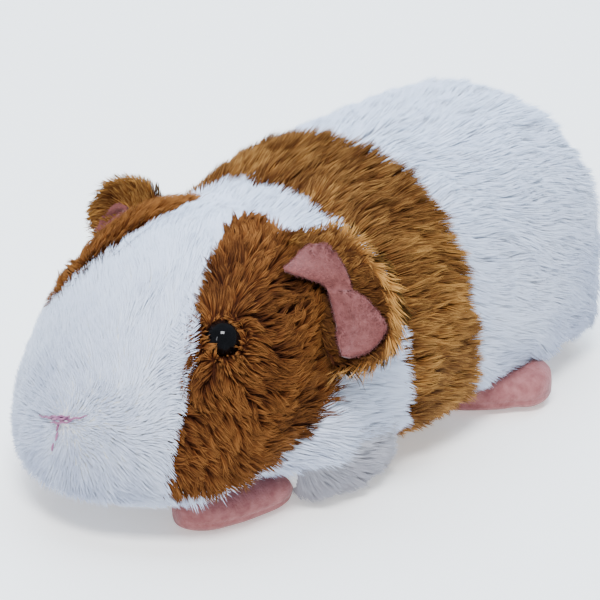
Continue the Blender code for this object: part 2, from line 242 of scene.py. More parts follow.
def section(share):
    """Half width, middle level, rise above it, drop below it and the two powers at each share."""
    half_width = through(HALF_WIDTHS, share)
    back = through(BACK_HEIGHTS, share)
    chin = through(CHIN_LIFT, share)
    round_off = rounding(share, MUZZLE_ROUND, MUZZLE_POWER) * rounding(1.0 - share, RUMP_ROUND, RUMP_POWER)
    middle = chin + through(WAIST_SHARE, share) * (back - chin)
    rise, drop = (back - middle) * round_off, (middle - chin) * round_off
    above, below = through(POWER_ABOVE, share), through(POWER_BELOW, share)
    return half_width * round_off, middle, rise, drop, above, below


def head_seam(y, z):
    """How far behind the slanting head seam each place is."""
    return (y - HEAD_SEAM_Y + HEAD_SEAM_LEAN * (HEAD_SEAM_Z - z)) / math.hypot(1.0, HEAD_SEAM_LEAN)


def body_points(share, angle):
    """Superellipses across, carried from the nose to the rump, drawn in a little at the neck crease."""
    half_width, middle, rise, drop, above, below = section(share)
    upper = np.sin(angle) > 0.0
    across, up = superellipse(angle, np.where(upper, above, below))
    x = half_width * across
    y = BODY_MIDDLE + (share - 0.5) * LENGTH + 0.0 * x
    z = middle + np.where(upper, rise, drop) * up - BELLY_SINK
    sideways = np.clip(np.abs(x) / (NECK_CREASE_SIDE * np.maximum(half_width, MM)), 0.0, 1.0) ** 2
    near_seam = np.exp(-((head_seam(y, z) / NECK_CREASE_WIDTH) ** 2))
    pinch = 1.0 - NECK_CREASE_DEPTH / NECK_HALF_WIDTH * sideways * near_seam
    return np.stack([x * pinch, y, z], axis=-1)


def unit(vectors):
    """The vectors with length 1."""
    return vectors / np.maximum(np.linalg.norm(vectors, axis=-1, keepdims=True), 1e-12)


def dot(first, second):
    """Dot product of each pair of vectors, kept as a column."""
    return np.sum(first * second, axis=-1, keepdims=True)


def body_frame(share, angle):
    """Point of the outline and the outward direction there: along cross around, from steps both ways."""
    ahead, behind = np.clip(share - SHARE_STEP, *INSIDE_ENDS), np.clip(share + SHARE_STEP, *INSIDE_ENDS)
    along = body_points(behind, angle) - body_points(ahead, angle)
    around = body_points(share, angle + ANGLE_STEP) - body_points(share, angle - ANGLE_STEP)
    return body_points(share, angle), -unit(np.cross(around, along))


_, outward = body_frame(np.array([0.5, 0.5]), np.array([0.0, math.pi / 2.0]))
print("outward at the side", outward[0].round(2), "and on the back", outward[1].round(2))

# %% [markdown]
# ## Depth and markings of the pile
# The pile is deepest on the rump and saddle and shortest round the nose. The cover is cut from white and
# brown plush: a saddle band, and two cheek patches parted by a white blaze that narrows towards the
# crown. They could be painted on a texture, but as functions of the place on the body they are
# shared by the backing cloth and the tufts, so that the two agree.

# %% Depth and markings
NOSE_X, NOSE_Z = 0.0, 32.0 * MM
NOSE_PILE, HEAD_PILE_MORE, BODY_PILE_MORE = 2.4 * MM, 1.2 * MM, 1.4 * MM
NOSE_PILE_REACH, SEAM_PILE_REACH = 45.0 * MM, 10.0 * MM
# In millimetres: how far the blaze reaches from the midline at each y, and the y of a cheek's rear edge at
# each z.
BLAZE_LEFT = MM * np.array(
    [(-105, 31), (-88, 29.5), (-77, 27), (-62, 20), (-54, 15.5), (-44, 11.5), (-28, 5), (-20, 4)]
)
BLAZE_RIGHT = MM * np.array(
    [
        (-105, 58), (-90, 53), (-80, 48), (-76, 40), (-72, 29),
        (-64, 18.5), (-55, 15), (-45, 11.5), (-36, 14), (-20, 18),
    ]
)
CHEEK_REAR = MM * np.array(
    [
        (0, -110), (15, -92), (17.5, -72), (21, -60), (28, -48.5), (37, -39.5),
        (46, -31), (57, -26), (66, -26), (71, -29), (90, -28),
    ]
)
CHEEK_REAR_SLANT, CHEEK_BOTTOM_Z = 0.5, 17.0 * MM
RIGHT_CHEEK_FRONT_Y, RIGHT_CHEEK_FRONT_Z, RIGHT_CHEEK_FRONT_LEAN = -68.0 * MM, 46.0 * MM, 1.5


def coat_depth(points):
    """From the tips of the pile down to the cloth: 2.4 mm at the nose, 3.6 on the head and 5 behind it."""
    from_nose = np.linalg.norm(points - NOSE_POINT, axis=1)
    behind = head_seam(points[:, 1], points[:, 2])
    head = NOSE_PILE + HEAD_PILE_MORE * np.clip(from_nose / NOSE_PILE_REACH, 0.0, 1.0)
    return head + BODY_PILE_MORE * np.clip(behind / SEAM_PILE_REACH + 0.5, 0.0, 1.0)


def cheek_mask(points):
    """How far each point is inside a cheek patch, below zero outside: the least of its distances to the
    blaze, to the rear edge and to the lower edge, and on the right also to the front edge."""
    x, y, z = points.T
    front = y - RIGHT_CHEEK_FRONT_Y + RIGHT_CHEEK_FRONT_LEAN * np.maximum(z - RIGHT_CHEEK_FRONT_Z, 0.0)
    right = np.minimum(-x - through(BLAZE_RIGHT, y), front)
    from_blaze = np.where(x > 0.0, x - through(BLAZE_LEFT, y), right)
    rear = CHEEK_REAR_SLANT * (through(CHEEK_REAR, z) - y)
    return np.minimum(np.minimum(from_blaze, rear), z - CHEEK_BOTTOM_Z)


def saddle_mask(points):
    """How far each point is inside the saddle band; below zero is outside."""
    return np.minimum(points[:, 1] - SADDLE_FRONT_Y, SADDLE_REAR_Y - points[:, 1])


def brown_mask(points):
    """How far each point is inside any brown plush: the larger of the two masks."""
    return np.maximum(cheek_mask(points), saddle_mask(points))


def muzzle_point(x, z):
    """The outline's point ahead of each x and z, found by halving steps along the body."""
    near, far = np.full_like(x, 0.0005), np.full_like(x, MUZZLE_ROUND)
    for _ in range(40):
        share = (near + far) / 2.0
        half_width, middle, rise, drop, above, below = section(share)
        level = z + BELLY_SINK - middle
        power = np.where(level > 0.0, above, below)
        reach = np.abs(x / half_width) ** power + np.abs(level / np.where(level > 0.0, rise, drop)) ** power
        near, far = np.where(reach > 1.0, share, near), np.where(reach > 1.0, far, share)
    return np.stack([x, BODY_MIDDLE + ((near + far) / 2.0 - 0.5) * LENGTH, z], axis=-1)


NOSE_POINT = muzzle_point(np.array([NOSE_X]), np.array([NOSE_Z]))[0]
print("nose at", (NOSE_POINT / MM).round(1), "mm")

# %% [markdown]
# ## Meshes from arrays
# Every piece is a few whole arrays: points, quads and triangles. Modelling tools would do for one cloth, but
# a hundred thousand tufts need arrays, and then all pieces may as well be made alike. One helper puts
# the arrays in a mesh, another gives values to its points, and a third rides the piece on the toy
# and hides the solids it stands for. A closed tube serves the cloth, ears, feet, eyes and threads.

# %% Mesh helpers


def build_mesh(name, points, quads, triangles, material):
    """Puts whole arrays of points, four-cornered and three-cornered faces in a new smooth piece."""
    corners = np.concatenate([quads.ravel(), triangles.ravel()]).astype(np.int32)
    starts = np.concatenate([np.arange(len(quads)) * 4, quads.size + np.arange(len(triangles)) * 3])
    mesh = bpy.data.meshes.new(name)
    mesh.vertices.add(len(points))
    mesh.vertices.foreach_set("co", points.astype(np.float32).ravel())
    mesh.loops.add(len(corners))
    mesh.loops.foreach_set("vertex_index", corners)
    mesh.polygons.add(len(starts))
    mesh.polygons.foreach_set("loop_start", starts.astype(np.int32))
    mesh.update(calc_edges=True)
    mesh.shade_smooth()
    mesh.materials.append(material)
    piece = bpy.data.objects.new(name, mesh)
    bpy.context.scene.collection.objects.link(piece)
    return piece


def point_values(piece, name, values):
    """A named number at every point, for the material to read."""
    attribute = piece.data.attributes.new(name, "FLOAT", "POINT")
    attribute.data.foreach_set("value", values.astype(np.float32).ravel())


def ring_grid(shares, columns):
    """Two whole arrays, one row to a share: the share, and the even angles of a full turn."""
    return np.meshgrid(shares, np.linspace(0.0, 2.0 * math.pi, columns, endpoint=False), indexing="ij")


def ring_quads(rows, columns):
    """Quads between neighbouring rings, the last column joined to the first."""
    here = np.arange(rows - 1)[:, None] * columns
    j = np.arange(columns)[None, :]
    after = (j + 1) % columns
    quads = [here + j, here + after, here + columns + after, here + columns + j]
    return np.stack(quads, axis=-1).reshape(-1, 4)


def fan_faces(centre, ring, flip):
    """Triangles from one point to a closed ring."""
    fan = np.stack([np.full_like(ring, centre), ring, np.roll(ring, -1)], axis=-1)
    return fan[:, ::-1] if flip else fan


def signed_volume(points, quads, triangles):
    """Six times the volume, above zero where the faces point outwards."""
    split = np.concatenate([quads[:, :3], quads[:, [0, 2, 3]], triangles])
    a, b, c = points[split[:, 0]], points[split[:, 1]], points[split[:, 2]]
    return float(np.sum(a * np.cross(b, c)))


def tube_arrays(rings, tips=None):
    """Points, quads and triangles of a closed tube: rings of points drawn together at a tip at each end, the
    middle of the end ring if none is given. If the volume is below zero the faces are turned over."""
    rows, columns = rings.shape[:2]
    ends = tips or (rings[0].mean(axis=0), rings[-1].mean(axis=0))
    points = np.concatenate([rings.reshape(-1, 3), ends])
    quads = ring_quads(rows, columns)
    ring = np.arange(columns)
    first, last = rows * columns, rows * columns + 1
    caps = np.concatenate([fan_faces(first, ring, True), fan_faces(last, ring + (rows - 1) * columns, False)])
    if signed_volume(points, quads, caps) < 0.0:
        quads, caps = quads[:, ::-1], caps[:, ::-1]
    return points, quads, caps


def closed_tube(name, rings, material, tips=None):
    """A piece that is one closed tube."""
    return build_mesh(name, *tube_arrays(rings, tips), material)


def place(piece, slot, nodes=()):
    """Rides the piece on the toy and hides the solids that it stands for. slot is not used."""
    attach(piece, "root")
    if nodes:
        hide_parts(*nodes)
    return piece


coarse_points, coarse_quads, _ = tube_arrays(body_points(*ring_grid(np.linspace(0.05, 0.95, 40), 40)))
print("a coarse body of", len(coarse_quads), "quads is", np.ptp(coarse_points, axis=0).round(3), "m")

# %% [markdown]
# ## Finishes
# Pile looks darker and redder at its roots, where light is trapped, and pale at its tips; that shade is
# painted into the colour of the roots. Each tuft also differs a little from its neighbours, and parts of
# the coat get painted shade or painted light. A painted texture stretched over the fur would blur. Two point
# values carry it instead: rise, from 0 at the root to 1 at the tip, and tone, one number to a tuft, which
# holds the tuft's random tone together with the painted shade or light of its place.

# %% Finish helpers


def new_material(name, roughness, sheen=0.0, sheen_roughness=0.5, specular=0.3):
    """A material of one shader, with its node tree: rough cloth has sheen, and gloss has none."""
    material = bpy.data.materials.new(name)
    material.use_nodes = True
    shader = material.node_tree.nodes["Principled BSDF"]
    shader.inputs["Roughness"].default_value = roughness
    shader.inputs["Sheen Weight"].default_value = sheen
    shader.inputs["Sheen Roughness"].default_value = sheen_roughness
    shader.inputs["Specular IOR Level"].default_value = specular
    return material, material.node_tree, shader


def add_ramp(tree, value, stops):
    """The colour that a ramp through (place, colour) stops gives to a value."""
    ramp = tree.nodes.new("ShaderNodeValToRGB")
    ramp.color_ramp.elements[0].position, ramp.color_ramp.elements[-1].position = stops[0][0], stops[-1][0]
    for place_at, _ in stops[1:-1]:
        ramp.color_ramp.elements.new(place_at)
    for element, (_, colour) in zip(ramp.color_ramp.elements, stops):
        element.color = (*colour, 1.0)
    tree.links.new(value, ramp.inputs["Fac"])
    return ramp.outputs["Color"]


def add_noise(tree, per_metre, detail=2.0):
    """Cloudy numbers in space, so many clouds to a metre."""
    position = tree.nodes.new("ShaderNodeTexCoord")
    noise = tree.nodes.new("ShaderNodeTexNoise")
    noise.inputs["Scale"].default_value = per_metre
    noise.inputs["Detail"].default_value = detail
    tree.links.new(position.outputs["Object"], noise.inputs["Vector"])
    return noise.outputs["Fac"]


def add_bump(tree, shader, height, depth, strength=1.0):
    """Shades the surface as if it rose by the depth where the height is 1."""
    bump = tree.nodes.new("ShaderNodeBump")
    bump.inputs["Strength"].default_value = strength
    bump.inputs["Distance"].default_value = depth
    tree.links.new(height, bump.inputs["Height"])
    tree.links.new(bump.outputs["Normal"], shader.inputs["Normal"])


def read_value(tree, name):
    """The number that the points of a piece carry under this name."""
    node = tree.nodes.new("ShaderNodeAttribute")
    node.attribute_name = name
    return node.outputs["Fac"]


def multiply(tree, first, second):
    """One colour times another."""
    mix = tree.nodes.new("ShaderNodeMix")
    mix.data_type = "RGBA"
    mix.blend_type = "MULTIPLY"
    mix.inputs["Factor"].default_value = 1.0
    tree.links.new(first, mix.inputs["A"])
    tree.links.new(second, mix.inputs["B"])
    return mix.outputs["Result"]


def pile_material(name, root_to_tip, tones, roughness, sheen):
    """Pile: a ramp from root to tip with painted shade at the root, times a ramp of tone and painted shade.
    """
    material, tree, shader = new_material(name, roughness, sheen, specular=0.1)
    up_tuft = add_ramp(tree, read_value(tree, "rise"), root_to_tip)
    tone_and_shade = add_ramp(tree, read_value(tree, "tone"), tones)
    tree.links.new(multiply(tree, up_tuft, tone_and_shade), shader.inputs["Base Color"])
    return material


def backing_material():
    """The knitted cloth under the pile, brown or white by the marking at each point."""
    material, tree, shader = new_material("plush_backing", 0.95)
    white_to_brown = ((0.35, (0.80, 0.80, 0.80)), (0.65, (0.05, 0.010, 0.001)))
    tree.links.new(add_ramp(tree, read_value(tree, "brown"), white_to_brown), shader.inputs["Base Color"])
    add_bump(tree, shader, add_noise(tree, 1500.0), 0.2 * MM)
    return material


BACKING = backing_material()
print("the backing cloth is read from", len(BACKING.node_tree.nodes), "nodes")

# %% [markdown]
# ## Colours of the plush
# The saddle is a golden brown. The cheek pile is a redder, darker copy of it, which paints the shade on the
# sides of the head. White plush looks bluish, and its painted shade bluer still. The leg pile is a greyer,
# darker copy of the white, which paints the shade under the cheeks near the floor. The tone of a brown tuft
# ranges widely, which makes the partings show and also carries painted shade and painted light, and that
# of a white one only towards the dark.

# %% Pile finishes
BROWN_PILE = pile_material(
    "brown_pile",
    ((0.0, (0.050, 0.012, 0.002)), (0.45, (0.125, 0.043, 0.009)), (1.0, (0.27, 0.124, 0.034))),
    ((0.0, (0.33, 0.25, 0.17)), (0.5, (1.0, 1.0, 1.0)), (1.0, (2.4, 2.7, 2.6))),
    roughness=0.7,
    sheen=0.0,
)
# A darker, redder copy of the brown pile: painted shade on the sides of the head.
SHADED_CHEEK_PILE = pile_material(
    "cheek_pile",
    ((0.0, (0.030, 0.0056, 0.0008)), (0.45, (0.075, 0.020, 0.0036)), (1.0, (0.172, 0.063, 0.0145))),
    ((0.0, (0.38, 0.30, 0.22)), (0.5, (1.0, 1.0, 1.0)), (1.0, (1.9, 2.1, 2.3))),
    roughness=0.7,
    sheen=0.0,
)
# A greyer, darker copy of the white pile: painted shade on the forelegs under the cheeks.
SHADED_LEG_PILE = pile_material(
    "leg_pile",
    ((0.0, (0.50, 0.48, 0.47)), (0.5, (0.56, 0.54, 0.58)), (1.0, (0.60, 0.60, 0.65))),
    ((0.0, (0.62, 0.62, 0.66)), (0.5, (0.97, 0.97, 0.98)), (1.0, (1.0, 1.0, 1.0))),
    roughness=0.7,
    sheen=0.2,
)
WHITE_PILE = pile_material(
    "white_pile",
    ((0.0, (0.74, 0.78, 0.86)), (0.5, (0.74, 0.79, 0.93)), (1.0, (0.75, 0.82, 0.99))),
    ((0.0, (0.60, 0.62, 0.70)), (0.5, (0.97, 0.97, 0.98)), (1.0, (1.0, 1.0, 1.0))),
    roughness=0.7,
    sheen=0.2,
)
print("finishes", [finish.name for finish in (BROWN_PILE, SHADED_CHEEK_PILE, SHADED_LEG_PILE, WHITE_PILE)])

# %% [markdown]
# ## The backing cloth
# Under its pile the real cover is a knitted cloth. Each solid could have a skin of its own, but one closed
# surface stands for the whole sewn tube, so that no seam shows between the four solids it replaces.
# It is the outline moved inwards by the depth of the pile.

# %% Backing cloth
SKIN_ROWS, SKIN_COLUMNS, SKIN_END = 150, 180, 0.03
SKIN_LOWEST, MARKING_BLEND = 1.0 * MM, 2.0 * MM


def skin_points(share, angle):
    """The outline, less the depth of the pile along the outward direction."""
    outline, out = body_frame(share, angle)
    return outline - coat_depth(outline.reshape(-1, 3)).reshape(*share.shape, 1) * out


def make_skin():
    """Rings of skin points at shares (1 - cos bend) / 2, closer at both ends, and flat under the belly."""
    bend = np.linspace(SKIN_END, math.pi - SKIN_END, SKIN_ROWS)
    share, angle = ring_grid((1.0 - np.cos(bend)) / 2.0, SKIN_COLUMNS)
    rings = skin_points(share, angle)
    rings[..., 2] = np.maximum(rings[..., 2], SKIN_LOWEST)
    tips = (rings[0].mean(axis=0), rings[-1].mean(axis=0))
    skin = closed_tube("plush_backing", rings, BACKING, tips)
    points = np.concatenate([body_points(share, angle).reshape(-1, 3), tips])
    point_values(skin, "brown", np.clip(brown_mask(points) / MARKING_BLEND + 0.5, 0.0, 1.0))
    place(skin, "white_plush", ("head", "neck", "trunk", "rump"))
    print("backing cloth", len(skin.data.polygons), "faces")


make_skin()

# %% [markdown]
# ## The lie of the pile
# Plush is woven with a nap. On this toy it runs back from the nose and down over the rump, and hands have
# brushed the head into whorls: away from each eye like rays, down to a ridge behind it, then up
# and back towards the ear. No short formula gives that, so the combing is given place by place. Each row
# of the tables is a place in millimetres and the way the pile points there.

# %% Lie of the pile
COMBED_CHEEK = (
    (9, -32, 73, -0.7, 0.7, 0.0),
    (15, -33, 72, -0.6, 0.8, 0.1),
    (14, -46, 72, -0.9, 0.3, 0.3),
    (18, -45, 71, -0.7, 0.6, 0.3),
    (23, -41, 69, -0.3, 0.9, 0.3),
    (18, -56, 67, -0.8, -0.5, 0.2),
    (21, -50, 68, -0.2, 0.9, 0.4),
    (23, -57, 64, -0.8, 0.2, 0.5),
    (26, -52, 64, 0.1, 0.9, 0.3),
    (23, -61, 62, -0.9, -0.4, 0.3),
    (22, -66, 60, -0.8, -0.4, 0.4),
    (25, -71, 54, -0.8, -0.7, 0.0),
    (27, -73, 51, -0.6, -0.8, -0.1),
    (30, -57, 59, 0.4, 0.9, 0.2),
    (33, -57, 56, 0.7, 0.5, -0.4),
    (36, -58, 52, 0.6, 0.1, -0.8),
    (37, -62, 49, 0.7, 0.2, -0.7),
    (37, -65, 46, 0.7, 0.2, -0.7),
    (39, -62, 44, 0.5, 0.0, -0.9),
    (34, -70, 45, 0.5, -0.2, -0.9),
    (30, -73, 48, 0.1, -0.7, -0.7),
    (40, -57, 48, 0.0, 0.9, 0.5),
    (33, -49, 61, 0.4, 0.9, 0.0),
    (37, -53, 54, -0.2, 0.7, 0.6),
    (38, -47, 56, -0.1, 0.8, 0.6),
    (28, -44, 66, -0.1, 1.0, 0.3),
    (40, -41, 53, -0.3, 0.9, 0.4),
    (44, -44, 45, 0.0, 0.9, 0.4),
    (45, -48, 38, 0.0, 1.0, 0.1),
    (46, -42, 38, 0.2, 1.0, 0.2),
    (44, -63, 34, 0.2, 0.9, 0.4),
    (44, -66, 28, 0.3, 0.9, 0.2),
    (46, -51, 32, 0.0, 1.0, 0.0),
    (47, -48, 28, 0.3, 1.0, 0.0),
    (45, -57, 27, 0.1, 1.0, -0.1),
    (45, -61, 24, 0.0, 1.0, -0.3),
    (44, -69, 21, 0.2, 0.8, -0.5),
    (42, -74, 20, 0.3, 0.5, -0.8),
    (38, -79, 19, 0.2, 0.2, -1.0),
    (34, -84, 20, 0.2, 0.1, -1.0),
    (33, -83, 28, 0.7, 0.6, -0.3),
    (31, -83, 33, 0.7, 0.4, -0.6),
    (33, -77, 41, 0.8, 0.5, -0.4),
    (37, -73, 38, 0.4, -0.2, -0.9),
    (39, -73, 33, 0.5, 0.2, -0.9),
    (41, -68, 37, 0.5, 0.5, -0.7),
    (39, -76, 26, 0.5, 0.5, -0.7),
)
COMBED_BLAZE = (
    (-2, -65, 67, -0.6, 0.7, 0.4),
    (0, -76, 59, -0.5, 0.6, 0.6),
    (13, -70, 61, -0.4, 0.7, 0.6),
    (22, -72, 55, 0.4, 0.8, 0.4),
    (24, -78, 48, 0.7, 0.7, 0.2),
    (10, -83, 51, -0.3, 0.6, 0.8),
    (-1, -86, 48, -0.6, 0.5, 0.7),
    (26, -86, 35, 0.5, 0.7, 0.6),
    (27, -89, 25, 0.7, 0.3, -0.6),
    (7, -50, 73, -0.4, 0.8, 0.3),
)
print(len(COMBED_CHEEK), "places are combed on each cheek and", len(COMBED_BLAZE), "on the blaze")

# %% [markdown]
# ## Combing
# The tables reach only the head, but every root needs a direction. So simple rules come first: back along the
# body, down on the flanks and away from the nose. The tables and the rays round the eyes are then
# blended over them by level steps. Hard limits would be simpler, but would show as lines in the coat.

# %% Combing
EYE_SHARE = 0.183
EYE_ANGLE = {1.0: math.radians(49.0), -1.0: math.radians(47.0)}
EYE_RADIUS = 4.7 * MM
EYE_PROUD = {1.0: 1.1 * MM, -1.0: 0.0}
COMB_REACH, UNCOMBED = 6.5 * MM, 0.12


def eye_centre(side):
    """Middle of the ball of an eye, and the direction it looks in."""
    angle = EYE_ANGLE[side] if side > 0 else math.pi - EYE_ANGLE[side]
    spot, out = body_frame(np.array([EYE_SHARE]), np.array([angle]))
    return spot[0] + out[0] * (EYE_PROUD[side] - EYE_RADIUS), out[0]


EYES = [eye_centre(side) for _, side in SIDES]


def step_up(value, low, high):
    """From 0 at low to 1 at high by t * t * (3 - 2 t), with a level start and end."""
    t = np.clip((value - low) / (high - low), 0.0, 1.0)
    return t * t * (3.0 - 2.0 * t)


def smooth(value, low, high):
    """The same step as a column, to multiply vectors by."""
    return step_up(value, low, high)[:, None]


def along_cloth(lie, out):
    """The part of each direction that is square to out, with length 1."""
    return unit(lie - dot(lie, out) * out)


def comb(points, lie, rows, mirror):
    """Blends in the rows of a table, each by exp(-(distance / reach)^2)."""
    total, blend = UNCOMBED * lie, np.full((len(points), 1), UNCOMBED)
    for row in np.array(rows, float):
        offset = (points - row[:3] * mirror * MM) / COMB_REACH
        weight = np.exp(-np.sum(offset**2, axis=1, keepdims=True))
        total, blend = total + weight * unit(row[3:] * mirror), blend + weight
    return total / blend


def lie_of_body(points, out):
    """Back along the body, to the left over the back and down on the flanks; away from the nose like rays;
    combed on the head by the tables; and away from each eye."""
    x, y, z = points.T
    behind = head_seam(y, z)
    lie = np.zeros_like(points)
    lie[:, 1] = 1.0
    on_back = smooth(x, -25.0 * MM, 15.0 * MM) * smooth(out[:, 2], 0.3, 0.9) * smooth(behind, 0.0, 14.0 * MM)
    lie[:, :1] += 0.5 * on_back
    hang = 0.35 * smooth(np.abs(x), 10.0 * MM, 48.0 * MM) * smooth(behind, -6.0 * MM, 14.0 * MM)
    hang = hang * (1.0 + smooth(y, 20.0 * MM, 60.0 * MM))
    hang = hang + 0.8 * smooth(-z, -16.0 * MM, -7.0 * MM) + 1.2 * smooth(y, 66.0 * MM, 92.0 * MM)
    lie[:, 2:] -= hang
    near_nose = 1.0 - smooth(np.linalg.norm(points - NOSE_POINT, axis=1), 8.0 * MM, 34.0 * MM)
    lie = lie * (1.0 - near_nose) + unit(points - NOSE_POINT) * near_nose
    on_head = 1.0 - smooth(behind, -2.0 * MM, 10.0 * MM)
    combed = comb(points, lie, COMBED_BLAZE, np.ones(3))
    for _, side in SIDES:
        cheek = smooth(side * x, 4.0 * MM, 16.0 * MM) * smooth(cheek_mask(points), -5.0 * MM, 1.0 * MM)
        combed = combed * (1.0 - cheek) + cheek * comb(points, lie, COMBED_CHEEK, np.array([side, 1.0, 1.0]))
    lie = lie * (1.0 - on_head) + combed * on_head
    for centre, _ in EYES:
        away = points - centre
        near_eye = 1.0 - smooth(np.linalg.norm(away, axis=1), 6.0 * MM, 9.5 * MM)
        lie = lie * (1.0 - near_eye) + along_cloth(away, out) * near_eye
    return along_cloth(lie, out)


print("eyes", (EYES[0][0] / MM).round(1), "and", (EYES[1][0] / MM).round(1), "mm")

# %% [markdown]
# ## Locks
# Pile never lies evenly. Neighbouring strands lean together into locks, with darker partings between. Real
# hair finds its locks by rubbing; here a jittered grid of guides is spread over the cloth. Each
# tuft finds its nearest guide, takes that guide's random turn and length, and its tip leans
# towards it. A softer noise bends wide areas.

# %% Guides


def cell_random(i, j, salt):
    """Even numbers from 0 to 1 that belong to a grid cell: the fraction of a large sine."""
    value = np.sin(i * 127.1 + j * 311.7 + salt * 74.7) * 43758.5453
    return value - np.floor(value)


def nearest_guides(u, v, size, salt):
    """Offset of each place to its nearest guide in a jittered grid of cells, and that guide's cell."""
    best = np.full(u.shape, np.inf)
    found = [np.zeros_like(u) for _ in range(4)]
    for di in (-1, 0, 1):
        for dj in (-1, 0, 1):
            i, j = np.floor(u / size) + di, np.floor(v / size) + dj
            du = (i + cell_random(i, j, salt)) * size - u
            dv = (j + cell_random(i, j, salt + 1)) * size - v
            closer = du**2 + dv**2 < best
            best = np.where(closer, du**2 + dv**2, best)
            found = [np.where(closer, new, old) for new, old in zip((du, dv, i, j), found)]
    return found


def soft_noise(u, v, size, salt):
    """Smooth noise from -1 to 1: the random numbers of four cell corners, blended with level slopes."""
    i, j = np.floor(u / size), np.floor(v / size)
    s, t = u / size - i, v / size - j
    s, t = s * s * (3.0 - 2.0 * s), t * t * (3.0 - 2.0 * t)
    near = cell_random(i, j, salt) * (1.0 - s) + cell_random(i + 1, j, salt) * s
    far = cell_random(i, j + 1, salt) * (1.0 - s) + cell_random(i + 1, j + 1, salt) * s
    return 2.0 * (near * (1.0 - t) + far * t) - 1.0


def turned(lie, out, angle):
    """The lie, turned on the cloth: cosine times the lie and sine times the direction beside it."""
    return np.cos(angle)[:, None] * lie + np.sin(angle)[:, None] * np.cross(out, lie)


probe_u, probe_v = np.meshgrid(np.linspace(0.0, 30.0 * MM, 60), np.linspace(0.0, 30.0 * MM, 60))
probe_du, probe_dv, _, _ = nearest_guides(probe_u, probe_v, 3.0 * MM, 0)
to_guide = np.hypot(probe_du, probe_dv).mean() / MM
print("with locks of 3 mm a tuft is", to_guide.round(2), "mm from its guide")

# %% [markdown]
# ## Tufts
# Hair curves of Blender would render well, but a toy in a library has to be made of closed solids. So a tuft
# is one: a few three-cornered rings along a curved path and a point. The path leaves the cloth at a
# steep angle and bends over to lie along it. All tufts of a panel are worked out at once as
# arrays. Their normals are mostly those of the cloth, so that light falls on the coat as one soft
# surface. Each tuft has a tiny patch of its own on the panel's flat pattern, to carry its colour.

# %% Tuft shape
TUFT_CORNERS, TUFT_FLATNESS, TUFT_TAPER = 3, 0.45, 0.4
ROOT_SUNK, PULL_POWER = 0.4 * MM, 1.3
PRESS_BELOW, PRESS_GAP = 1.6 * MM, 0.25 * MM


def tuft_points(root, out, lie, length, width, lean, curl, pull, rings, roundness):
    """Rings and tip of every tuft: steps along a path whose lean changes from lean[0] to lean[1]."""
    side = np.cross(out, lie)
    steps = np.linspace(0.0, 1.0, rings + 1)
    path = [root - ROOT_SUNK * out]
    for k in range(rings):
        at = (steps[k] + steps[k + 1]) / 2.0
        slope = lean[0] + (lean[1] - lean[0]) * at
        ahead = np.cos(slope)[:, None] * lie + np.sin(slope)[:, None] * out
        ahead = ahead + (curl * at)[:, None] * side
        path.append(path[-1] + unit(ahead) * (length / rings)[:, None])
    path = np.stack(path, axis=1) + pull[:, None, :] * (steps**PULL_POWER)[None, :, None]
    turn = np.linspace(0.0, 2.0 * math.pi, TUFT_CORNERS, endpoint=False) + math.pi / 2.0
    ahead = unit(path[:, 1:] - path[:, :-1])
    flat = unit(np.cross(ahead, out[:, None, :]) + 1e-9)
    over = np.cross(flat, ahead)
    thin = 0.5 * width[:, None] * (1.0 - TUFT_TAPER * steps[:-1] ** 2)[None, :]
    across = np.cos(turn)[None, None, :, None] * flat[:, :, None, :]
    ring = across + TUFT_FLATNESS * np.sin(turn)[None, None, :, None] * over[:, :, None, :]
    rows = path[:, :-1, None, :] + thin[:, :, None, None] * ring
    shading = unit(out[:, None, None, :] + roundness * ring)
    points = np.concatenate([rows.reshape(len(root), -1, 3), path[:, -1:, :]], axis=1)
    return points, np.concatenate([shading.reshape(len(root), -1, 3), out[:, None, :]], axis=1)


def tuft_faces(count, rings):
    """Quads between the rings, triangles to the tip, and one that closes the root."""
    j = np.arange(TUFT_CORNERS)
    after = (j + 1) % TUFT_CORNERS
    k = np.arange(rings - 1)[:, None] * TUFT_CORNERS
    quads = [k + j, k + TUFT_CORNERS + j, k + TUFT_CORNERS + after, k + after]
    quads = np.stack(quads, axis=-1).reshape(-1, 4)
    last = (rings - 1) * TUFT_CORNERS
    tip = np.stack([last + j, np.full(TUFT_CORNERS, last + TUFT_CORNERS), last + after], axis=-1)
    triangles = np.concatenate([tip, [[0, 1, 2]]])
    base = np.arange(count)[:, None, None] * (rings * TUFT_CORNERS + 1)
    return (base + quads[None]).reshape(-1, 4), (base + triangles[None]).reshape(-1, 3)


def rest_on_floor(points):
    """Presses whatever comes near the floor flat above it, without ever folding it: below a low level the
    height left falls off as an exponential towards a small gap."""
    z = points[..., 2]
    pressed = PRESS_GAP + (PRESS_BELOW - PRESS_GAP) * np.exp(np.minimum(z - PRESS_BELOW, 0.0) / PRESS_BELOW)
    points[..., 2] = np.where(z < PRESS_BELOW, pressed, z)
    return points


print("a tuft of two rings has", sum(len(faces) for faces in tuft_faces(1, 2)), "faces")

# %% [markdown]
# ## A panel of tufts
# Each tuft could be an object, but then there would be a hundred thousand of them. One mesh holds all the
# tufts of a panel, which keeps the pieces few. Its flat pattern is the panel spread out by the
# lengths along and round the body, with each tuft shrunk to a small star.

# %% Panel of tufts
PATCH, PATCH_TAPER, PATTERN_MARGIN = 0.003, 0.8, 0.005


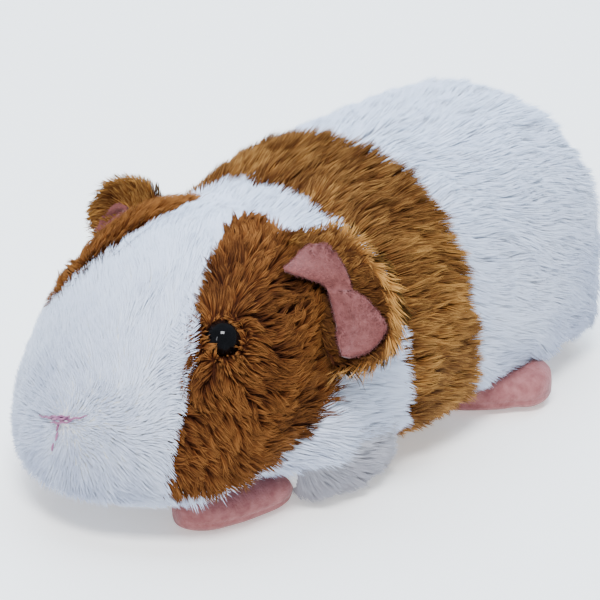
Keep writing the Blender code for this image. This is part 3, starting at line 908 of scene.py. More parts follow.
def flat_pattern(piece, u, v, up):
    """Gives each tuft its patch, centred on its place in the panel, narrower towards the tip."""
    flat_at = np.stack([u, v], axis=-1)
    low, high = flat_at.min(axis=0), flat_at.max(axis=0)
    centre = PATTERN_MARGIN + (1.0 - 2.0 * PATTERN_MARGIN) * (flat_at - low) / (high - low)
    turn = np.tile(np.arange(TUFT_CORNERS) * 2.0 * math.pi / TUFT_CORNERS, len(up) // TUFT_CORNERS)
    out_by = PATCH / 2.0 * (1.0 - up[:-1] * PATCH_TAPER)
    patch = np.stack([np.cos(turn) * out_by, np.sin(turn) * out_by], axis=-1)
    patch = np.concatenate([patch, [[0.0, 0.0]]])
    at_points = (centre[:, None, :] + patch[None]).reshape(-1, 2)
    corners = np.empty(len(piece.data.loops), np.int32)
    piece.data.loops.foreach_get("vertex_index", corners)
    layer = piece.data.uv_layers.new(name="OFBake")
    layer.data.foreach_set("uv", at_points[corners].astype(np.float32).ravel())


def grow_pile(name, material, slot, roots, lie, length, width, lean, curl, pull, rings, roundness, tone):
    """One panel of pile as one piece, with its values and its flat pattern."""
    out = roots["out"]
    points, shading = tuft_points(roots["root"], out, lie, length, width, lean, curl, pull, rings, roundness)
    points = rest_on_floor(points)
    count, each = points.shape[:2]
    quads, triangles = tuft_faces(count, rings)
    all_points = points.reshape(-1, 3)
    first_tuft = quads[: TUFT_CORNERS * (rings - 1)], triangles[: TUFT_CORNERS + 1]
    if signed_volume(all_points[:each], *first_tuft) < 0.0:
        quads, triangles = quads[:, ::-1], triangles[:, ::-1]
    piece = build_mesh(name, all_points, quads, triangles, material)
    piece.data.normals_split_custom_set_from_vertices(shading.reshape(-1, 3))
    up = np.concatenate([np.repeat(np.arange(rings) / rings, TUFT_CORNERS), [1.0]])
    point_values(piece, "rise", np.tile(up, count))
    point_values(piece, "tone", np.repeat(tone, each))
    flat_pattern(piece, roots["u"], roots["v"], up)
    place(piece, slot)
    print(name, count, "tufts")


# %% [markdown]
# ## Roots
# Tufts have to stand evenly on curved cloth. Steps even in the two parameters would crowd them at the ends
# of the body. So the surface is cut into small cells, each cell gets roots by its area, and every
# root has a point, an outward direction and a place on the flat pattern. The same steps serve the
# body, the legs and the ears.

# %% Roots
CELL_ROWS, CELL_COLUMNS = 240, 420
ALONG_STEP, ROUND_STEP = 0.004, 0.01
generator = np.random.default_rng(20)


def evenly(points):
    """The same density everywhere."""
    return np.ones(len(points))


def scatter(surface, a_span, b_span, handed, per_area, density_of=evenly):
    """Roots over a surface of two parameters, so many to a square millimetre times the density: equal steps
    through the running sum of cell area times density. u and v run along and round the surface."""
    a_edge, b_edge = np.linspace(*a_span, CELL_ROWS + 1), np.linspace(*b_span, CELL_COLUMNS + 1)
    corner = surface(a_edge[:, None] + 0.0 * b_edge, 0.0 * a_edge[:, None] + b_edge)
    step_a, step_b = corner[1:, :-1] - corner[:-1, :-1], corner[:-1, 1:] - corner[:-1, :-1]
    area = np.linalg.norm(np.cross(step_b, step_a), axis=-1)
    weight = area.ravel() * density_of(corner[:-1, :-1].reshape(-1, 3))
    edges = np.concatenate([[0.0], np.cumsum(weight)])
    count = int(edges[-1] / MM**2 * per_area)
    at = (np.arange(count) + generator.random(count)) / count * edges[-1]
    cell = np.clip(np.searchsorted(edges, at, side="right") - 1, 0, len(weight) - 1)
    i, j = cell // CELL_COLUMNS, cell % CELL_COLUMNS
    more_a, more_b = generator.random(count), generator.random(count)
    a = a_edge[i] + (a_edge[1] - a_edge[0]) * more_a
    b = b_edge[j] + (b_edge[1] - b_edge[0]) * more_b
    across = np.linalg.norm(corner[:, 1:] - corner[:, :-1], axis=-1)
    around = np.concatenate([np.zeros((CELL_ROWS + 1, 1)), np.cumsum(across, axis=1)], axis=1)
    around = around - around[:, CELL_COLUMNS // 2 : CELL_COLUMNS // 2 + 1]
    run = np.linalg.norm(np.diff(corner[:, CELL_COLUMNS // 4], axis=0), axis=-1)
    run = np.concatenate([[0.0], np.cumsum(run)])
    small = ALONG_STEP * (a_span[1] - a_span[0])
    along = surface(np.clip(a + small, *a_span), b) - surface(np.clip(a - small, *a_span), b)
    sideways = surface(a, b + ROUND_STEP) - surface(a, b - ROUND_STEP)
    return {
        "a": a,
        "b": b,
        "u": np.interp(a, a_edge, run),
        "v": around[i, j] + more_b * (around[i, j + 1] - around[i, j]),
        "point": surface(a, b),
        "out": unit(np.cross(along, sideways)) * handed,
        "along": unit(along),
        "around": unit(sideways),
    }


def pick(roots, keep):
    """Only the roots to keep, with all that is known of them."""
    return {name: values[keep] for name, values in roots.items()}


print("each surface is cut into", CELL_ROWS * CELL_COLUMNS, "cells")

# %% [markdown]
# ## Roots on the body
# White tufts are wide and hide the cloth with few roots, while brown pile shows its partings and needs more.
# One density would be simpler, but the coat has a limit of triangles, so roots are saved where the
# toy lies on the floor and spent round the eyes.

# %% Roots on the body
FROM_BELOW = (-math.pi / 2.0, 1.5 * math.pi)
BODY_TUFTS = 3.4
SADDLE_DENSITY, CHEEK_DENSITY, EYE_DENSITY, BELLY_DENSITY = 1.5, 1.13, 2.4, 0.25


def body_density(points):
    """Brown pile, whose partings show, has more tufts, the ring round each eye the most, and the underside,
    pressed on the floor, the fewest."""
    from_eye = np.min([np.linalg.norm(points - centre, axis=1) for centre, _ in EYES], axis=0)
    on_saddle = np.where(saddle_mask(points) > 0.0, SADDLE_DENSITY, 1.0)
    density = np.where(cheek_mask(points) > 0.0, CHEEK_DENSITY, on_saddle)
    density = np.where(from_eye < EYE_RADIUS + 4.0 * MM, EYE_DENSITY, density)
    return np.where(points[:, 2] < 3.0 * MM, BELLY_DENSITY, density)


def body_surface(along, angle):
    """The outline with its share eased by (1 - cos(pi along)) / 2, so that roots reach both rounded ends."""
    return body_points((1.0 - np.cos(math.pi * along)) / 2.0, angle)


body = scatter(body_surface, (0.002, 0.998), FROM_BELOW, 1.0, BODY_TUFTS, body_density)
body["depth"] = coat_depth(body["point"])
body["root"] = body["point"] - body["depth"][:, None] * body["out"]
body["lie"] = lie_of_body(body["point"], body["out"])
print("roots on the body", len(body["a"]))

# %% [markdown]
# ## Styles of pile
# Brown plush is brushed into clear locks and white plush lies smooth, yet both are tufts. So a style is a set
# of numbers. lock is the millimetres between guides. turn, gather and curl say how far a guide turns
# its tufts, draws them together and bends them, and swirl how far the wide noise turns them. mottle
# and mixed spread the tone by lock and by tuft. steep and flat are the lean at root and tip in
# radians. pile is the length over the depth of the pile, width is in millimetres, rings is how
# many a tuft has, and round is how far its own shape shows in its shading.

# %% Styles
BROWN_STYLE = dict(
    lock=2.8, turn=0.26, gather=0.50, curl=0.45, swirl=0.35, mottle=1.0, mixed=0.2,
    steep=1.0, flat=0.10, pile=1.8, width=0.36, rings=2, round=0.7,
)
SADDLE_STYLE = dict(BROWN_STYLE, lock=2.4, turn=0.18, gather=0.32, curl=0.28, width=0.34)
CHEEK_STYLE = dict(BROWN_STYLE, lock=2.6, gather=0.55, curl=0.6, pile=1.75, rings=3)
EAR_STYLE = dict(
    BROWN_STYLE, lock=2.0, turn=0.20, gather=0.25, curl=0.6, swirl=0.4, steep=0.6, flat=0.05, rings=3
)
WHITE_STYLE = dict(
    lock=3.0, turn=0.14, gather=0.12, curl=0.0, swirl=0.50, mottle=0.4, mixed=0.05,
    steep=0.72, flat=0.12, pile=1.6, width=0.80, rings=1, round=0.10,
)
LEG_STYLE = dict(WHITE_STYLE, pile=2.0)
NAP_STYLE = dict(
    lock=1.5, turn=0.5, gather=0.2, curl=0.3, swirl=0.5, mottle=0.6, mixed=0.2,
    steep=0.9, flat=0.4, pile=1.0, width=0.5, rings=1, round=0.3,
)
LOCK_SCALES = ((2.1, 0.5), (1.0, 1.0))  # size of a lock over the style's, and how strong it is
SWIRL_SIZE, TONE_SIZE = 9.0 * MM, 7.0 * MM
LOCK_LENGTH, LOCK_TONE, WIDE_TONE, CURL_SPREAD = 0.12, 0.15, 0.2, 0.2
LENGTH_RANGE, WIDTH_RANGE, LEAN_SPREAD, LONG_LEAN = (0.88, 1.06), (0.75, 1.25), 0.06, 0.4
FULL_DEPTH, STEEPEST = 5.0 * MM, 1.6


def either_way(i, j, salt):
    """A guide's even random number from -1 to 1."""
    return 2.0 * cell_random(i, j, salt) - 1.0


def grow_panel(name, material, slot, roots, style, salt, extra_lean=0.0):
    """Pile on the given roots: wide swirls turn it, then two sizes of lock gather it. The salt gives each
    panel guides of its own."""
    u, v, out, count = roots["u"], roots["v"], roots["out"], len(roots["u"])
    lie = turned(roots["lie"], out, style["swirl"] * soft_noise(u, v, SWIRL_SIZE, salt + 5))
    # The tone starts from the painted shade or painted light of each root, and random steps are added to it.
    pull, longer, tone = np.zeros((count, 3)), np.ones(count), 0.5 + roots["shade"]
    for times, share in LOCK_SCALES:
        du, dv, i, j = nearest_guides(u, v, style["lock"] * times * MM, salt)
        lie = turned(lie, out, style["turn"] * share * either_way(i, j, salt + 2))
        pull = pull + style["gather"] * share * (du[:, None] * roots["along"] + dv[:, None] * roots["around"])
        longer = longer * (1.0 + LOCK_LENGTH * either_way(i, j, salt + 3))
        tone = tone + style["mottle"] * LOCK_TONE * either_way(i, j, salt + 4)
    bend = style["curl"] * either_way(i, j, salt + 6)
    wide_tone = style["mottle"] * WIDE_TONE * soft_noise(u, v, TONE_SIZE, salt + 8)
    tone = tone + wide_tone + generator.normal(0.0, style["mixed"], count)
    depth = roots["depth"]
    length = style["pile"] * depth * longer * generator.uniform(*LENGTH_RANGE, count)
    width = style["width"] * MM * generator.uniform(*WIDTH_RANGE, count) * (0.75 + 0.25 * depth / FULL_DEPTH)
    steep = np.minimum(generator.normal(style["steep"], LEAN_SPREAD, count) + extra_lean, STEEPEST)
    flat = generator.normal(style["flat"], LEAN_SPREAD, count) + LONG_LEAN * (longer - 1.0) + extra_lean
    bend = bend + generator.normal(0.0, CURL_SPREAD * style["curl"], count)
    tone = np.clip(tone, 0.0, 1.0)
    lean, rings, roundness = (steep, flat), style["rings"], style["round"]
    grow_pile(name, material, slot, roots, lie, length, width, lean, bend, pull, rings, roundness, tone)


print("styles are sets of", len(BROWN_STYLE), "numbers")

# %% [markdown]
# ## Round the eyes and at the edges
# The dome eyes sit in a dent that the pile stands round like lashes, and where two colours meet the pile is
# trimmed a little, so that the edge of a patch reads as a line. Both could be tufts of their own.
# Here the roots that are near an eye or an edge get another depth and a steeper lean instead, so
# that the coat has no seam there.

# %% Round the eyes and at the edges
HEAD_END_Y, EDGE_WANDER, EDGE_REACH = -46.0 * MM, 0.4 * MM, 3.5 * MM
EYE_TRIM, CHEEK_EDGE_TRIM, EDGE_TRIM = 0.35, 0.5, 0.26
FACE_AXIS, TO_MIDLINE_AXIS = np.array([0.35, 0.94, 0.0]), np.array([0.87, -0.40, 0.30])
# Depth in millimetres and lean in radians of the lashes: left, how much more behind the left eye, and right.
RIM_DEPTH, RIM_DEPTH_BEHIND, RIM_DEPTH_RIGHT = 3.1, 0.7, 3.9
RIM_LEAN, RIM_LEAN_BEHIND, RIM_LEAN_RIGHT = 2.1, 0.4, 2.3
NEAR_EYE_LEAN = 0.5
spot, root = body["point"], body["root"]
wander = generator.normal(0.0, EDGE_WANDER, len(spot))
in_cheek = cheek_mask(spot) + wander > 0.0
in_saddle = saddle_mask(spot) + wander > 0.0
is_white = ~in_cheek & ~in_saddle
is_left = spot[:, 0] > 0.0
ahead = spot[:, 1] < HEAD_END_Y
eye_distance = np.min([np.linalg.norm(root - centre, axis=1) for centre, _ in EYES], axis=0)
from_eye = unit(np.where(is_left[:, None], root - EYES[0][0], root - EYES[1][0]))
beside_eye = 1.0 - step_up(eye_distance, 5.0 * MM, 8.5 * MM)
behind_eye = step_up(from_eye @ FACE_AXIS, 0.3, 0.9)
rim_side = np.where(is_left, np.abs(from_eye @ FACE_AXIS), step_up(from_eye @ TO_MIDLINE_AXIS, -0.10, 0.45))
eye_rim = (1.0 - step_up(eye_distance, EYE_RADIUS + 0.9 * MM, EYE_RADIUS + 2.3 * MM)) * rim_side
at_edge = 1.0 - step_up(np.minimum(np.abs(cheek_mask(spot)), np.abs(saddle_mask(spot))), 0.0, EDGE_REACH)
edge_trim = np.where(in_cheek & ahead, CHEEK_EDGE_TRIM, np.where(is_white & ahead, 0.0, EDGE_TRIM))
rim_depth = np.where(is_left, RIM_DEPTH + RIM_DEPTH_BEHIND * behind_eye, RIM_DEPTH_RIGHT) * MM * eye_rim
body["depth"] = body["depth"] * (1.0 - EYE_TRIM * beside_eye)
body["depth"] = np.maximum(body["depth"] * (1.0 - edge_trim * at_edge), rim_depth)
rim_lean = np.where(is_left, RIM_LEAN + RIM_LEAN_BEHIND * behind_eye, RIM_LEAN_RIGHT)
eye_lean = NEAR_EYE_LEAN * beside_eye + rim_lean * eye_rim
print("tufts round the eyes", int(np.sum(eye_rim > 0.1)), "and at an edge", int(np.sum(at_edge > 0.1)))

# %% [markdown]
# ## Light and dark in the coat
# The lamps shade the coat only in part; the rest is painted. A shade moves the tone of each tuft, worked
# out from its height and its distance from the nose and the eyes. It paints shade low on the sides, on the
# lower rump, round the nose, over the upper cheeks and towards the top of the saddle, and paints light on
# top of the head, beside the eyes and over the whole right cheek.

# %% Shade of the coat
level = spot[:, 2]
# Painted shade over the upper cheeks, painted light on top of the head, beside the eyes and on the right
# cheek.
cheek_shade = -0.22 * step_up(level, 50.0 * MM, 63.0 * MM) + 0.35 * step_up(level, 67.0 * MM, 72.0 * MM)
cheek_shade = cheek_shade + 0.3 * beside_eye + np.where(is_left, 0.0, 0.25)
# Painted shade towards the top of the saddle.
saddle_shade = 0.08 - 0.26 * step_up(level, 45.0 * MM, 70.0 * MM)
# Painted shade on the lower rump, near the floor and round the nose.
behind_low = step_up(spot[:, 1], 30.0 * MM, 80.0 * MM) * (1.0 - step_up(level, 30.0 * MM, 62.0 * MM))
near_floor = 1.0 - step_up(level, 4.0 * MM, 34.0 * MM)
near_nose = 1.0 - step_up(np.linalg.norm(spot - NOSE_POINT, axis=1), 10.0 * MM, 34.0 * MM)
white_shade = -0.38 * behind_low - 0.45 * near_floor - 0.25 * near_nose
body["shade"] = np.where(in_cheek, cheek_shade, np.where(in_saddle, saddle_shade, white_shade))
print("shade from", body["shade"].min().round(2), "to", body["shade"].max().round(2))

# %% [markdown]
# ## Panels of pile
# The pile is grown panel by panel, as the real cover is cut, so that each is one piece of one colour. A
# single coat would be one huge mesh. Where two panels meet, the tips of the one in front fall over
# the roots of the next.

# %% Panels
SADDLE_MIDDLE_Y, RUMP_MIDDLE_Y, EYE_CLEARANCE = 0.0, 56.0 * MM, 0.10 * MM
ahead_of_saddle = spot[:, 1] < SADDLE_MIDDLE_Y
ahead_on_rump = ~ahead_of_saddle & (spot[:, 1] < RUMP_MIDDLE_Y)
tail_end = spot[:, 1] >= RUMP_MIDDLE_Y
CHEEK = (SHADED_CHEEK_PILE, "brown_plush", CHEEK_STYLE)
SADDLE = (BROWN_PILE, "brown_plush", SADDLE_STYLE)
WHITE = (WHITE_PILE, "white_plush", WHITE_STYLE)
PANELS = (
    ("cheek_pile_left", in_cheek & is_left, CHEEK),
    ("cheek_pile_right", in_cheek & ~is_left, CHEEK),
    ("saddle_pile_left", in_saddle & is_left, SADDLE),
    ("saddle_pile_right", in_saddle & ~is_left, SADDLE),
    ("muzzle_pile", is_white & ahead, WHITE),
    ("collar_pile", is_white & ~ahead & ahead_of_saddle, WHITE),
    ("rump_pile_left", is_white & ahead_on_rump & is_left, WHITE),
    ("rump_pile_right", is_white & ahead_on_rump & ~is_left, WHITE),
    ("tail_end_pile_left", is_white & tail_end & is_left, WHITE),
    ("tail_end_pile_right", is_white & tail_end & ~is_left, WHITE),
)
clear = eye_distance > EYE_RADIUS + EYE_CLEARANCE
for number, (name, chosen, (material, slot, style)) in enumerate(PANELS):
    keep = chosen & clear
    grow_panel(name, material, slot, pick(body, keep), style, 20 * number, eye_lean[keep])

# %% [markdown]
# ## The flap of an ear
# An ear is a flap of plush sewn along a slanting line on the head and cupped forwards. A flat leaf could be
# bent by a modifier. A formula of two parameters, the share down the sewn line and the way out from
# it, does it in one step and can be asked for any place on the flap. The backing is a thin closed
# shell round it. The left ear is folded open, and the right one stands up, small and round.

# %% Ear surface
# Side, top and low end of the sewn line, the way the leaf points at each, and how far it reaches.
Ear = namedtuple("Ear", "side top low leaf_top leaf_low reach")
LEFT_LEAF = (0.73, 0.68, 0.05)
LEFT_EAR = Ear(1.0, (20, -28, 68), (49, -40, 44), LEFT_LEAF, LEFT_LEAF, 19.0 * MM)
RIGHT_LEAF = ((0.68, 0.25, 0.42), (0.56, 0.04, 0.70))
RIGHT_EAR = Ear(-1.0, (26.5, -31, 65.5), (43.5, -36.8, 52.2), *RIGHT_LEAF, 9.8 * MM)
EARS = {"left": LEFT_EAR, "right": RIGHT_EAR}
# The cup bends the flap forwards at its rim, the dish lifts its two ends, the root goes into the head.
EAR_CUP, EAR_DISH, EAR_ROOT = 6.0 * MM, 10.0 * MM, 3.0 * MM
EAR_RIM_SHARE, EAR_RIM_POWER, EAR_RIM_MORE = 0.94, 0.40, 0.6 * MM
SHELL_SPAN, SHELL_DROP = (0.0, 1.02), 1.4
FAN_START, FAN_MIDDLE, FAN_SPREAD, FAN_STEP = 1.0 * MM, 0.45, 0.7, 0.1
FOLDED_SWEEP, OPEN_SWEEP = 3.4, 2.2


def sewn_line(ear, leaf):
    """Top of the sewn line, the step down to its low end, and the way its face looks: across both."""
    top, low = np.array(ear.top) * MM, np.array(ear.low) * MM
    return top, low - top, unit(np.cross(low - top, leaf))


def ear_place(ear, share, out, rise):
    """The point at a share down the sewn line, so far out along the leaf and so far above its face."""
    blend = np.clip(share, 0.0, 1.0)[..., None]
    leaf = unit(np.array(ear.leaf_top) * (1.0 - blend) + np.array(ear.leaf_low) * blend)
    top, down, face = sewn_line(ear, leaf)
    cup = EAR_CUP * out * np.abs(out) / ear.reach**2 + EAR_DISH * (share - 0.5) ** 2 + rise
    place_at = top + down * share[..., None] + leaf * out[..., None] + face * cup[..., None]
    return place_at * np.array([ear.side, 1.0, 1.0])


def shell_reach(share, reach):
    """The rim of the backing: a flattened half circle, a pile's depth inside the rim of the ear."""
    half_circle = np.maximum(1.0 - (2.0 * np.clip(share, 0.0, 1.0) - 1.0) ** 2, 0.0)
    return EAR_RIM_SHARE * reach * half_circle**EAR_RIM_POWER + EAR_RIM_MORE


def shell_surface(ear, share, angle):
    """A thin closed section: out = root to rim by (1 + cos angle) / 2, thickness by sin angle."""
    out = (shell_reach(share, ear.reach) + EAR_ROOT) * (1.0 + np.cos(angle)) / 2.0 - EAR_ROOT
    return ear_place(ear, share, out, (np.sin(angle) - SHELL_DROP) * MM)


def ear_pile_lie(ear, roots, rim):
    """Outwards from the middle of the sewn line like a fan, then along the rim below the fold; and the lean,
    the arcsine of how far the fan points out of the cloth."""
    share = roots["a"]
    level = np.zeros_like(share)
    fan = ear_place(ear, share + FAN_SPREAD * (share - FAN_MIDDLE) * FAN_STEP, level + FAN_START, level)
    fan = unit(fan - ear_place(ear, share, level, level))
    sweep = FOLDED_SWEEP * step_up(share, 0.08, 0.40) if ear.side > 0 else OPEN_SWEEP
    fan = unit(fan + (sweep * rim)[:, None] * roots["along"])
    lean = np.arcsin(np.clip(dot(fan, roots["out"])[:, 0], 0.0, 1.0))
    return along_cloth(fan, roots["out"]), lean


for side_name, ear in EARS.items():
    rim_top = ear_place(ear, np.array([0.5]), np.array([ear.reach]), np.zeros(1))[0]
    print("the", side_name, "ear reaches", (rim_top / MM).round(1), "mm")

# %% [markdown]
# ## The velour of an ear
# A smaller piece of pink velour is sewn to the face of each ear. On the folded left ear it runs in along the
# upper rim, narrows at the fold and widens again below, so no simple outline fits it. Its two edges
# are read through given tables, as a share down the sewn line, a way out and a height. The pile
# needs to know where it is, so its surface comes before the ear's own pile.

# %% Velour surface
# Along the velour, then the share, the way out and the height in millimetres on an ear that reaches 19 mm.
LINING_INNER = (
    (0.00, 0.40, -7.1, 9.3),
    (0.15, 0.42, -4.2, 8.1),
    (0.30, 0.43, -0.6, 5.4),
    (0.40, 0.44, 2.1, 3.5),
    (0.45, 0.47, 3.0, 2.6),
    (0.60, 0.57, 2.7, 1.2),
    (0.75, 0.72, 1.9, 1.5),
    (0.90, 0.88, 0.3, 2.3),
    (1.00, 0.99, -0.2, 3.3),
)
LINING_OUTER = (
    (0.00, 0.38, -6.8, 9.2),
    (0.10, 0.27, -3.0, 5.5),
    (0.18, 0.18, 0.4, 3.6),
    (0.25, 0.13, 3.9, 3.0),
    (0.31, 0.14, 7.2, 3.2),
    (0.36, 0.20, 8.6, 3.0),
    (0.41, 0.28, 9.5, 2.8),
    (0.455, 0.38, 9.9, 2.5),
    (0.49, 0.47, 9.7, 2.0),
    (0.53, 0.51, 10.2, 2.5),
    (0.58, 0.56, 11.7, 3.2),
    (0.66, 0.67, 13.4, 4.0),
    (0.75, 0.79, 14.2, 5.1),
    (0.84, 0.88, 11.9, 4.6),
    (0.93, 0.97, 7.1, 3.8),
    (1.00, 1.01, 1.6, 3.6),
)
LINING_REACH = 19.0
VELOUR_START = {1.0: 0.0, -1.0: 0.47}


def lining_place(ear, t, across, lift):
    """Between the two edges of the velour, t along it and across from the inner edge, in the ear's terms."""
    scale = ear.reach / (LINING_REACH * MM)
    inner = [through([(row[0], row[k]) for row in LINING_INNER], t) for k in (1, 2, 3)]
    outer = [through([(row[0], row[k]) for row in LINING_OUTER], t) for k in (1, 2, 3)]
    share, out, rise = (first + (second - first) * across for first, second in zip(inner, outer))
    leaf = unit(np.array(ear.leaf_top))
    top, down, face = sewn_line(ear, leaf)
    place_at = top + down * share[..., None] + leaf * (out * scale * MM)[..., None]
    place_at = place_at + face * (rise * scale * MM + lift)[..., None]
    return place_at * np.array([ear.side, 1.0, 1.0])


def lining_distance(ear, points):
    """How far each point is from the velour, to the nearest of a net of points on it."""
    t, across = np.meshgrid(np.linspace(VELOUR_START[ear.side], 1.0, 24), np.linspace(0.0, 1.0, 6))
    net = lining_place(ear, t.ravel(), across.ravel(), np.zeros(t.size))
    nearest = np.full(len(points), np.inf)
    for knot in net:
        nearest = np.minimum(nearest, np.linalg.norm(points - knot, axis=1))
    return nearest


fold = lining_place(EARS["left"], np.array([0.45, 0.45]), np.array([0.0, 1.0]), np.zeros(2))
print("velour at the fold", round(float(np.linalg.norm(fold[1] - fold[0])) / MM, 1), "mm wide")

# %% [markdown]
# ## Pile of the ears
# The pile grows from the back of each ear, round its rim, and from the face wherever the velour does not
# cover it. It could end at the rim, but on the real ear the long tips of the rim hide the edge of the
# velour, so the rim's tufts are longer and sweep along it. They are also paler, painted light where the
# rim catches the lamps, and the face below the fold of the left ear is darker, painted shade.

# %% Ear shells
EAR_TUFTS, EAR_SALT, SHELL_POINTS = 6.5, 300, 40
EAR_DEPTH, EAR_SHADE, RIM_SHADE = 2.4 * MM, 0.05, 0.45
VELOUR_MARGIN, EAR_TOP_BARE = 0.4, 0.03


def make_ear(side_name):
    """The backing shell of an ear, and its pile: the rim is where cos angle nears 1, the face where sin
    angle is above 0."""
    ear = EARS[side_name]
    is_folded = ear.side > 0
    rings = shell_surface(ear, *ring_grid(np.linspace(*SHELL_SPAN, SHELL_POINTS), SHELL_POINTS))
    shell = closed_tube("ear_backing_" + side_name, rings, BACKING)
    point_values(shell, "brown", np.ones(len(shell.data.vertices)))
    place(shell, "brown_plush", ("ear_" + side_name,))
    around = (0.0, 2.0 * math.pi)
    roots = scatter(lambda a, b: shell_surface(ear, a, b), SHELL_SPAN, around, -ear.side, EAR_TUFTS)
    roots["root"] = roots["point"]
    rim = step_up(np.cos(roots["b"]), 0.66, 0.95)
    front = np.sin(roots["b"]) > 0.0
    below_fold = step_up(roots["a"], 0.25, 0.5)
    roots["depth"] = EAR_DEPTH + ((1.0 + 0.9 * below_fold) if is_folded else 0.3) * MM * rim
    # Painted shade on the left ear's face below the fold, painted light on the rim of both ears.
    face_shade = -0.12 - 0.45 * below_fold if is_folded else EAR_SHADE
    rim_shade = (RIM_SHADE - 0.12 * below_fold) * rim
    roots["shade"] = np.where(front, face_shade, EAR_SHADE) * (1.0 - rim) + rim_shade
    roots["lie"], lean = ear_pile_lie(ear, roots, rim)
    bare = lining_distance(ear, roots["point"]) <= np.where(front, VELOUR_MARGIN, 0.0) * MM
    keep = ~bare & (roots["a"] > EAR_TOP_BARE)
    name, salt = "ear_pile_" + side_name, EAR_SALT + int(ear.side)
    grow_panel(name, BROWN_PILE, "brown_plush", pick(roots, keep), EAR_STYLE, salt, lean[keep])


for side_name in EARS:
    make_ear(side_name)

# %% [markdown]
# ## Velour
# Velour is a cloth with a very short, dense nap. It looks softly mottled, and paler where it turns away.
# Tufts all over would be costly, so on the feet a fine dotted bump gives that. The ear linings are
# looked at closer, and also get a nap of short tufts.

# %% Velour finish
VELOUR_CLOUDS, VELOUR_DOTS = 420.0, 1900.0


def velour_material(name, dark, light):
    """Short-napped pink velour: a soft mottle and a fine dotted bump, pale where it turns away."""
    material, tree, shader = new_material(name, roughness=0.8, sheen=0.45, sheen_roughness=0.4)
    shader.inputs["Sheen Tint"].default_value = (1.0, 0.86, 0.86, 1.0)
    colour = add_ramp(tree, add_noise(tree, VELOUR_CLOUDS, detail=4.0), ((0.3, dark), (0.7, light)))
    tree.links.new(colour, shader.inputs["Base Color"])
    add_bump(tree, shader, add_noise(tree, VELOUR_DOTS), 0.3 * MM, strength=0.7)
    return material


# Ears and feet are one velour in two copies: the ear's is darker, painted shade, and the feet's paler,
# painted light. The nap's darker roots are painted shade too.
EAR_VELOUR = velour_material("ear_velour", (0.125, 0.034, 0.031), (0.21, 0.070, 0.064))
FOOT_VELOUR = velour_material("foot_velour", (0.24, 0.075, 0.075), (0.37, 0.14, 0.14))
NAP = pile_material(
    "velour_nap",
    ((0.0, (0.14, 0.038, 0.035)), (1.0, (0.23, 0.078, 0.072))),
    ((0.0, (0.75, 0.70, 0.70)), (0.5, (1.0, 1.0, 1.0)), (1.0, (1.4, 1.5, 1.5))),
    roughness=0.8,
    sheen=0.0,
)
print("velours", [finish.name for finish in (EAR_VELOUR, FOOT_VELOUR, NAP)])

# %% [markdown]
# ## Linings of the ears
# Each lining is padded a little, so that it bulges between its edges. A flat sheet would be simpler but would
# have no back, so it is a closed pad. A deep crease runs across it where the left ear folds, and a
# hollow lies below.

# %% Ear linings
LINING_SHARES, LINING_ROWS, LINING_COLUMNS = (0.004, 0.996), 120, 56
LINING_FRONT = (-0.3, math.pi + 0.3)
FOLD_AT, FOLD_SLANT, FOLD_WIDTH = 0.445, 0.04, 0.028
NAP_TUFTS, NAP_DEPTH, NAP_SALT = 10.0, 1.1 * MM, 500


def lining_surface(ear, t, angle):
    """A closed pad between the two edges of the velour: a crown by the root of sin angle, less bell curves
    for the crease at its fold and the hollow below it."""
    across = (1.0 + np.cos(angle)) / 2.0
    front = np.maximum(np.sin(angle), 0.0)
    crease = np.exp(-(((t - FOLD_AT - FOLD_SLANT * across) / FOLD_WIDTH) ** 2))
    hollow = np.exp(-(((across - 0.25) / 0.14) ** 2)) * np.exp(-(((t - 0.72) / 0.2) ** 2))
    crown = 1.4 * front**0.5 - 1.5 * front * crease - 1.4 * front * hollow
    return lining_place(ear, t, across, (0.5 + crown + 0.5 * np.minimum(np.sin(angle), 0.0)) * MM)


def make_lining(side_name):
    """The padded velour of an ear and its nap, which lies across it and leans over at both edges."""
    ear = EARS[side_name]
    span = (VELOUR_START[ear.side] + LINING_SHARES[0], LINING_SHARES[1])
    rings = lining_surface(ear, *ring_grid(np.linspace(*span, LINING_ROWS), LINING_COLUMNS))
    lining = closed_tube("ear_velour_" + side_name, rings, EAR_VELOUR)
    place(lining, "pink_velour", ("ear_lining_" + side_name,))
    roots = scatter(lambda a, b: lining_surface(ear, a, b), span, LINING_FRONT, -ear.side, NAP_TUFTS)
    roots["root"] = roots["point"]
    roots["depth"] = np.full(len(roots["a"]), NAP_DEPTH)
    # Painted light on the nap of the upper lobe.
    roots["shade"] = 0.35 * (1.0 - step_up(roots["a"], 0.3, 0.6)) + 0.05
    roots["lie"] = unit(np.cos(roots["b"])[:, None] * roots["around"] + 0.6 * roots["along"])
    lean = 0.7 * np.abs(np.cos(roots["b"])) ** 4
    grow_panel("ear_nap_" + side_name, NAP, "pink_velour", roots, NAP_STYLE, NAP_SALT + int(ear.side), lean)


for side_name in EARS:
    make_lining(side_name)

# %% [markdown]
# ## Limbs
# Legs and feet are short stuffed rolls. A cylinder with a bevel would look turned on a lathe, so each limb is
# a superellipse carried along a short line on the floor and rounded at both ends. The solids were
# made from the same numbers.

# %% Limbs
# Each limb is a line of x, y and half width in millimetres, from the body outwards, and a height.
FORELEG = (((38, -12, 10.5), (38, -30, 13.5), (31, -50, 12)), 27.0 * MM)
FOREPAW = (((31, -43, 9.5), (28.5, -60, 9.5), (24, -78, 7.5)), 12.0 * MM)
HIND_FOOT = (((26, 22, 9), (39, 36.5, 11), (51, 49.5, 10)), 13.5 * MM)
LIMB_SINK, LIMB_LOWEST = 0.6 * MM, 0.3 * MM
LIMB_ROUND, LIMB_ROUND_POWER, LIMB_POWER, LIMB_END_HEIGHT = 0.3, 2.2, 2.4, 0.35


